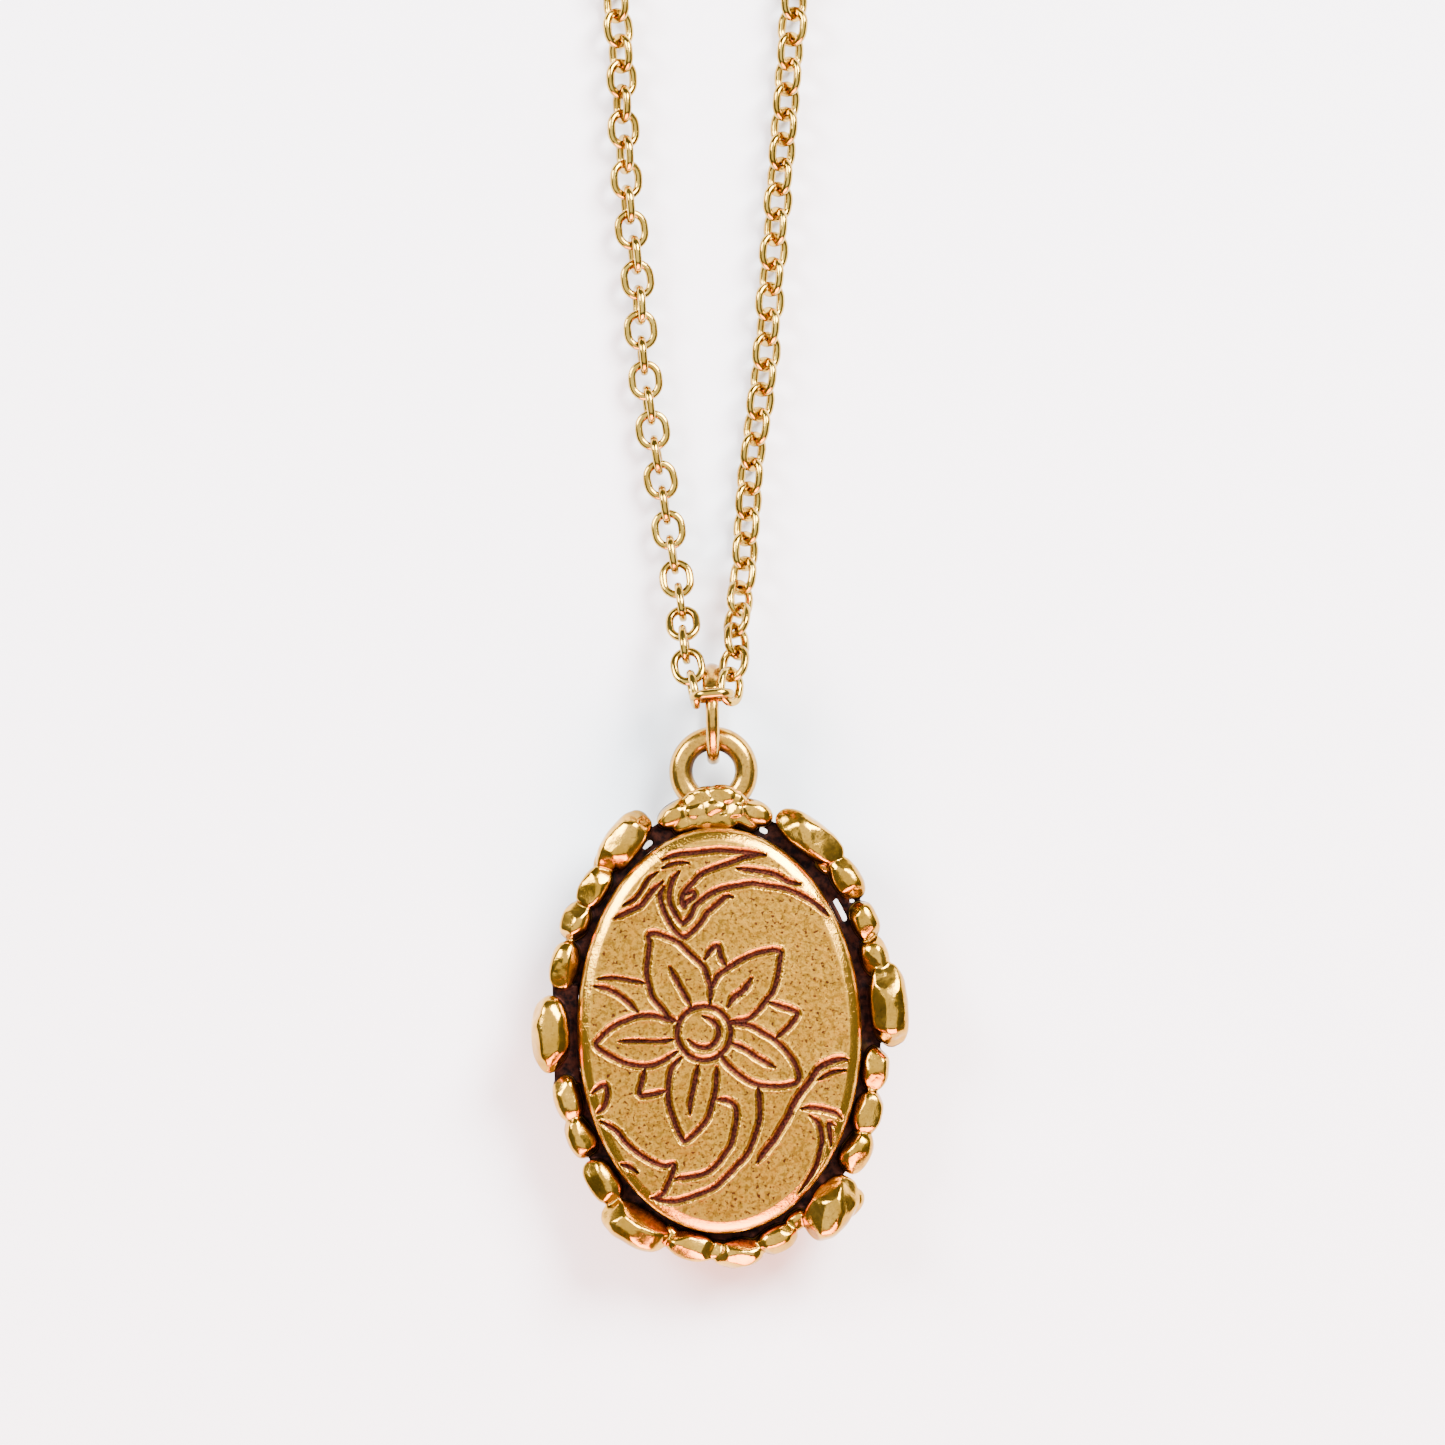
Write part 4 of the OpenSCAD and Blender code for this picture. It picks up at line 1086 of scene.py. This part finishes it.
def face_sheet():
    u, v = np.meshgrid(np.linspace(-1, 1, GRID_X), np.linspace(-1, 1, GRID_Y))
    x = (CASE_A - SHEET_EDGE) * u * np.sqrt(1 - v * v / 2)
    y = (CASE_B - SHEET_EDGE) * v * np.sqrt(1 - u * u / 2)
    xy = np.column_stack([x.ravel(), y.ravel()])
    r2 = np.clip((xy[:, 0] / (CASE_A - BEVEL_W)) ** 2 + (xy[:, 1] / (CASE_B - BEVEL_W)) ** 2, 0, 1)
    insets = insets_of(xy)
    flat = np.column_stack([xy, np.zeros(len(xy))])
    ragged = wander(flat, 0.13) * 0.16 + wander(flat, 0.4, 7) * 0.12
    across = cut_depths(xy)
    edged = across * (1 + ragged)
    trench = -GROOVE_DEPTH * np.clip(1 - edged, 0, 1) ** 0.85
    lip = LIP_HEIGHT * np.exp(-((edged - 1.2) / 0.2) ** 2)
    lip += 0.8 * LIP_HEIGHT * np.exp(-np.clip(edged - 1, 0, 9) / 1.2) * (edged > 1)
    dents = 0.012 * wander(flat, 1.3, 3) + 0.005 * wander(flat, 0.45, 11)
    quiet = smoothstep(SHEET_EDGE, SHEET_EDGE + 0.08, insets)
    rolled = np.interp(insets, *zip(*(BEVEL[::-1] + ((BEVEL_W, 0.0),))))
    z = RIM_Z + CROWN * (1 - r2) - rolled + (trench + lip + dents) * quiet
    dark = np.clip((GROOVE_PATINA - edged) / 0.2, 0, 1) * quiet
    # Painted highlight on the lips of the cuts and on the rolled edge, on top of their wear.
    bright = LIP_RUB_AND_HIGHLIGHT * np.exp(-((edged - 1.15) / 0.2) ** 2) * quiet
    bright = np.maximum(bright, np.interp(insets, [b[0] for b in BEVEL[::-1]] + [0.85],
                                          RUBBED_AND_HIGHLIGHT[::-1] + (0.0,)))
    return np.column_stack([xy, z]), dark, bright


def edge_of_grid():
    """The indices round the grid's edge, counter-clockwise from its lower left corner."""
    grid = np.arange(GRID_X * GRID_Y).reshape(GRID_Y, GRID_X)
    return np.concatenate([grid[0, :-1], grid[:-1, -1], grid[-1, :0:-1], grid[:0:-1, 0]])


def make_cover():
    sheet, dark, bright = face_sheet()
    rim = edge_of_grid()
    n, start = len(rim), len(sheet)
    c, s = (sheet[rim, :2] / (CASE_A - SHEET_EDGE, CASE_B - SHEET_EDGE)).T
    low, foot = RIM_Z - BEVEL_H, SEAM + RIM_GAP
    rows = [(inset, RIM_Z - drop) for inset, drop in BEVEL if inset < SHEET_EDGE]
    edge = len(rows)
    rows += [(0.0, low - 0.5), (0.0, foot + 0.04), (EASE, foot), (SHEET - EASE, foot),
             (SHEET, foot + 0.04), (SHEET, low - 0.05), (SHEET + 0.06, low + 0.03),
             (SHEET + BEVEL_W - 0.05, CEILING - 0.02), (SHEET + BEVEL_W + 0.05, CEILING),
             (SHEET + BEVEL_W + 2, CEILING)]
    stained = {edge - 1: 0.35, edge: 1.0, edge + 1: 1.0}     # the wall beside the border
    points = [sheet] + [np.column_stack([(CASE_A - inset) * c, (CASE_B - inset) * s, np.full(n, z)])
                        for inset, z in rows]
    patina_and_painted_shade = [dark] + [np.full(n, stained.get(i, 0.0)) for i in range(len(rows))]
    # The rolled edge is rubbed, and it is also lightened as a painted highlight.
    rubbed_and_highlight = [bright] + [np.full(n, RUBBED_AND_HIGHLIGHT[i - edge] if i < edge else 0.0)
                         for i in range(len(rows))]
    grid = np.arange(start).reshape(GRID_Y, GRID_X)
    faces = np.column_stack([grid[:-1, :-1].ravel(), grid[:-1, 1:].ravel(),
                             grid[1:, 1:].ravel(), grid[1:, :-1].ravel()]).tolist()
    ahead = np.roll(rim, -1)
    faces += [(int(ahead[k]), int(rim[k]), start + k, start + (k + 1) % n) for k in range(n)]
    faces += [tuple(reversed(f)) for f in wall_faces(len(rows), n, start=start)]
    faces.append(tuple(start + (len(rows) - 1) * n + k for k in range(n)))
    cover = make_piece("engraved_cover", np.vstack(points), faces, engraved_gold)
    paint(cover.data, "patina_and_painted_shade", np.concatenate(patina_and_painted_shade))
    paint(cover.data, "rubbed_and_highlight", np.concatenate(rubbed_and_highlight))
    cover.data.set_sharp_from_angle(angle=math.radians(60))
    print("cover: %d corners, cuts %.2f mm deep" % (len(cover.data.vertices), GROOVE_DEPTH))
    return cover


place(make_cover(), "cover", "engraved_gold", "front_cover")

# %% [markdown]
# ## The nugget border
# Round the cover runs a cast border: a dark web with gold lumps on it, no two alike. They look
# like nuggets that were tumbled until their broken faces went soft. Sculpting them by hand is one
# way. Here each starts as a ball stretched to its length and width. A few planes then slice it, and
# whatever stands past a plane is pressed flat onto it, which is just how a broken face forms. All
# the lumps and the web are then melted together with the Remesh modifier, so they meet in soft
# cast creases, and a smoothing pass polishes them.
#
# Each lump gives its angle round the oval, how far outside it lies, its length, its width and its
# turn from the oval's own direction.

# %% The lumps
WEB_Z, WEB_T, WEB_W = 3.25, 0.5, 1.1
BRIDGE_Z = 3.6                   # underside of what passes over the hinge
NUGGETS = [
    (104, 1.2, 1.9, 1.3, 10), (97, 1.05, 1.4, 1.25, 0), (90, 1.05, 1.4, 1.3, 0),
    (83, 1.05, 1.4, 1.25, 0), (76, 1.2, 1.9, 1.3, -10), (123, 1.4, 3.5, 1.95, 10),
    (139, 1.1, 2.3, 1.5, 0), (150, 1.2, 2.0, 1.5, 0), (162, 1.1, 2.4, 1.5, 0),
    (197, 1.0, 2.3, 1.5, 0), (208, 1.0, 2.2, 1.5, 0), (222, 1.1, 2.4, 1.6, 0),
    (238, 1.4, 3.5, 2.1, 10), (258, .95, 2.5, 1.5, 0), (275, 1.2, 2.4, 1.5, 0),
    (289, 1.1, 2.1, 1.45, 0), (309, 1.6, 3.4, 2.3, 8), (326, 1.1, 2.2, 1.6, 0),
    (337, .95, 2.2, 1.5, 0), (349, .9, 2.2, 1.4, 0), (5, 1.6, 4.3, 2.0, 0), (18, 1.3, 2.1, 1.45, 0),
    (28, 1.4, 2.1, 1.4, 0), (40, 1.6, 2.4, 1.5, 0), (56, 1.55, 3.9, 1.8, 4)]
HINGE_NUGGET = (180, 1.5, 3.7, 2.0, 0)
# Small crumbs that melt the top of the border into the case and the bail.
CRUMBS = [(101, .55, 1.5, 1.1, 15), (94.5, .4, 1.3, 1.1, 0), (87, .42, 1.5, 1.1, 0),
          (79, .6, 1.5, 1.0, -15), (93.5, 1.75, 1.5, 1.1, 10), (87.5, 1.8, 1.6, 1.15, 0),
          (97, 1.6, 1.2, 1.0, 30), (83, 1.6, 1.2, 1.0, -30), (132, 1.5, 1.2, .9, 20),
          (314, 2.3, 1.6, 1.2, 0), (284, 1.0, 1.5, 1.0, 0), (267, 1.0, 1.4, 1.0, 0),
          (298, .8, 1.3, 1.0, 0), (249, .8, 1.2, 1.0, 20), (48, 1.0, 1.1, .8, 0)]
SLOTS = [(34, .45, 1.3), (117, .4, .7), (71, .45, .5)]
SLOT_W = 0.25
HINGE_CLEAR = 2.2                # half length of the gap that the web leaves for the hinge
HINGE_X = -9.3
BALL_SQUARE = 0.88               # below 1 makes a ball a little boxy
BALL_HALF = (0.59, 0.55, 0.52)   # half sizes, as shares of the length, the width and the width
SLICES, FLATTENED = 5, 0.8       # planes per lump, and how far each presses its side flat


def on_oval(angle, out):
    a = math.radians(angle)
    return (CASE_A + out) * math.cos(a), (CASE_B + out) * math.sin(a)


def oval_heading(angle, out):
    a = math.radians(angle)
    return math.atan2((CASE_B + out) * math.cos(a), -(CASE_A + out) * math.sin(a))


dice = np.random.default_rng(41)


def lump(bm, spec, z0):
    """Adds one nugget to a mesh under construction."""
    angle, out, length, width, turn = spec
    made = bmesh.ops.create_icosphere(bm, subdivisions=4, radius=1.0)["verts"]
    ball = np.array([v.co for v in made])
    ball = np.sign(ball) * np.abs(ball) ** BALL_SQUARE
    ball *= np.array(BALL_HALF) * (length, width, width)
    for _ in range(SLICES):
        tilt, spin = math.radians(dice.uniform(8, 78)), dice.uniform(0, math.tau)
        normal = np.array([math.sin(tilt) * math.cos(spin), math.sin(tilt) * math.sin(spin),
                           math.cos(tilt)])
        reach = (ball @ normal).max() * dice.uniform(0.74, 0.92)
        past = np.clip(ball @ normal - reach, 0, None)
        ball -= FLATTENED * past[:, None] * normal
    bumps = np.array([noise.noise(Vector(p * 1.5 + angle)) for p in ball])
    ball *= (1 + 0.05 * bumps)[:, None]
    x, y = on_oval(angle, out)
    heading = oval_heading(angle, out) + math.radians(turn)
    c, s = math.cos(heading), math.sin(heading)
    top = ball[:, 2].max()
    for v, (px, py, pz) in zip(made, ball):
        v.co = (x + c * px - s * py, y + s * px + c * py, z0 + width - top + pz)


def web_ring(bm):
    """The flat web, in cells, so that cells can be left out for the slots and the hinge."""
    steps, cells = 720, 9
    insets = np.linspace(-0.15, WEB_W, cells + 1)

    def missing(i, j):
        angle = (i + 0.5) * 360 / steps
        out = (insets[j] + insets[j + 1]) / 2
        x, y = on_oval(angle, out)
        if x < 0 and abs(y) < HINGE_CLEAR:
            return True
        for slot_angle, slot_out, slot_l in SLOTS:
            sx, sy = on_oval(slot_angle, slot_out)
            if abs(out - slot_out) < SLOT_W / 2 and math.hypot(x - sx, y - sy) < slot_l / 2:
                return True
        return False

    grid = {}

    def corner(i, j, top):
        key = (i % steps, j, top)
        if key not in grid:
            x, y = on_oval((i % steps) * 360 / steps, insets[j])
            sway = 0.09 * noise.noise(Vector((x * 1.3, y * 1.3, 4.0)))
            z = WEB_Z + (WEB_T + sway if top else 0)
            grid[key] = bm.verts.new((x, y, z))
        return grid[key]

    present = {(i, j) for i in range(steps) for j in range(cells) if not missing(i, j)}
    for i, j in present:
        for top in (0, 1):
            loop = [corner(i, j, top), corner(i, j + 1, top), corner(i + 1, j + 1, top),
                    corner(i + 1, j, top)]
            bm.faces.new(loop if top else loop[::-1])
        for di, dj, a, b in ((0, -1, (i, j), (i + 1, j)), (0, 1, (i + 1, j + 1), (i, j + 1)),
                             (-1, 0, (i, j + 1), (i, j)), (1, 0, (i + 1, j), (i + 1, j + 1))):
            if ((i + di) % steps, j + dj) not in present:
                bm.faces.new([corner(*a, 1), corner(*a, 0), corner(*b, 0), corner(*b, 1)][::-1])


def bridge(bm):
    """The raised strip over the hinge."""
    x0, x1, y = HINGE_X, -CASE_A + 0.1, HINGE_CLEAR + 0.5
    made = bmesh.ops.create_cube(bm, size=1)["verts"]
    bmesh.ops.scale(bm, vec=(x1 - x0, 2 * y, WEB_T), verts=made)
    bmesh.ops.translate(bm, vec=((x0 + x1) / 2, 0, BRIDGE_Z + WEB_T / 2), verts=made)

# %% [markdown]
# The patina is wiped off the high places and stays in the low ones, so its strength is worked out
# from each corner's height and from how deep it lies in a crease: a corner that is lower than the
# average of its neighbours is in a crease.

# %% Melting the border together
VOXEL, POLISH, POLISH_PASSES = 0.055, 0.5, 12
BLUR_PASSES = 14
WEB_TOP = WEB_Z + WEB_T
UNDER_PATINA = 0.35


def make_border():
    bm = bmesh.new()
    web_ring(bm)
    bridge(bm)
    for spec in NUGGETS:
        lump(bm, spec, WEB_Z)
    for spec in CRUMBS:
        lump(bm, spec, WEB_Z + 0.1)
    lump(bm, HINGE_NUGGET, BRIDGE_Z)
    mesh = bpy.data.meshes.new("nugget_border")
    bm.to_mesh(mesh)
    bm.free()
    mesh.transform(Matrix.Scale(MM, 4))
    border = add_object("nugget_border", mesh)
    melt = border.modifiers.new("melt", "REMESH")
    melt.mode, melt.voxel_size = "VOXEL", VOXEL * MM
    polish = border.modifiers.new("polish", "SMOOTH")
    polish.factor, polish.iterations = POLISH, POLISH_PASSES
    melted = bpy.data.meshes.new_from_object(
        border.evaluated_get(bpy.context.evaluated_depsgraph_get()))
    border.modifiers.clear()
    border.data = melted
    bpy.data.meshes.remove(mesh)
    melted.shade_smooth()
    coat(melted, nugget_gold)
    return border


def read_all(collection, field, width, kind):
    """One value of every corner or edge, as an array with `width` columns."""
    values = np.empty(len(collection) * width, kind)
    collection.foreach_get(field, values)
    return values.reshape(-1, width)


def darken_recesses(border):
    mesh = border.data
    points = read_all(mesh.vertices, "co", 3, np.float32) / MM
    normals = read_all(mesh.vertices, "normal", 3, np.float32)
    a, b = read_all(mesh.edges, "vertices", 2, np.int32).T
    mean = points.copy()
    for _ in range(BLUR_PASSES):     # a blurred copy of the surface
        total, count = np.zeros_like(mean), np.zeros(len(mean))
        for here, there in ((a, b), (b, a)):
            np.add.at(total, here, mean[there])
        for here in (a, b):
            np.add.at(count, here, 1)
        mean = 0.5 * mean + 0.5 * total / count[:, None]
    x, y, z = points.T
    crease = smoothstep(0.006, 0.03, ((mean - points) * normals).sum(1))
    floor = smoothstep(WEB_TOP + 0.30, WEB_TOP + 0.04, z)
    over_hinge = ((x > HINGE_X - 0.1) & (x < 0) & (np.abs(y) < HINGE_CLEAR + 0.6)
                  & (z < BRIDGE_Z + WEB_T + 0.12))
    dark = np.clip(floor + crease + over_hinge, 0, 1)
    dark = np.where(normals[:, 2] < -0.3, UNDER_PATINA, dark)    # the underside was never dipped
    paint(mesh, "patina_and_painted_shade", dark)
    return len(points), float(dark.mean())


border = make_border()
corners, share = darken_recesses(border)
place(border, "cover", "nugget_gold", "nugget_frame")
print("border: %d corners, %.0f%% of them dark" % (corners, 100 * share))

# %% [markdown]
# ## Table and light
# The table is a plain pale sheet. Polished gold shows the room more than itself, so the lights
# are wide cards: a soft key from the upper right, a weaker one from the upper left, a faint wide
# ceiling over everything, and a warm card low in front that gives the undersides their salmon
# glow. The rest of the room stays dimmer, and gives the metal its browns.

# %% The table
TABLE_HALF, TABLE_Z = 600.0, -0.01


def table_finish():
    top = Finish("pale_table")
    soft = top.noise(6.0, 3)
    return top.give(Base_Color=top.mix_colour(soft, (0.875, 0.925, 0.98), (0.845, 0.90, 0.96)),
                    Roughness=0.9)


corners = [(x * TABLE_HALF, y * TABLE_HALF, TABLE_Z)
           for x, y in ((-1, -1), (1, -1), (1, 1), (-1, 1))]
table = make_piece("table", corners, [(0, 1, 2, 3)], table_finish(), smooth=False)
print("table: %.1f m wide" % (2 * TABLE_HALF * MM))

# %% The lights
world = bpy.data.worlds.new("room")
bpy.context.scene.world = world
world.use_nodes = True
room = world.node_tree.nodes["Background"].inputs
room["Color"].default_value = (0.90, 0.94, 1.0, 1)
room["Strength"].default_value = 0.30


def softbox(name, place_mm, aim_mm, width, height, power, colour):
    """A glowing card of width and height in millimetres, which the camera doesn't see itself."""
    light = bpy.data.lights.new(name, "AREA")
    light.shape = "RECTANGLE"
    light.size, light.size_y = width * MM, height * MM
    light.energy, light.color = power, colour
    lamp = add_object(name, light)
    lamp.location = Vector(place_mm) * MM
    lamp.rotation_euler = (Vector(aim_mm) - Vector(place_mm)).to_track_quat("-Z", "Y").to_euler()
    lamp.visible_camera = False


FACE = (0, 10, 0)                # what the three cards point at
softbox("ceiling", (0, 80, 700), (0, 80, 0), 950, 950, 6.2, (0.95, 0.97, 1.0))
softbox("key", (300, 340, 420), FACE, 280, 280, 19.0, (0.99, 0.99, 0.98))
softbox("fill", (-380, 260, 360), FACE, 220, 220, 8.0, (0.93, 0.96, 1.0))
softbox("warm_card", (30, -400, 190), FACE, 380, 260, 12.0, (1.0, 0.38, 0.26))
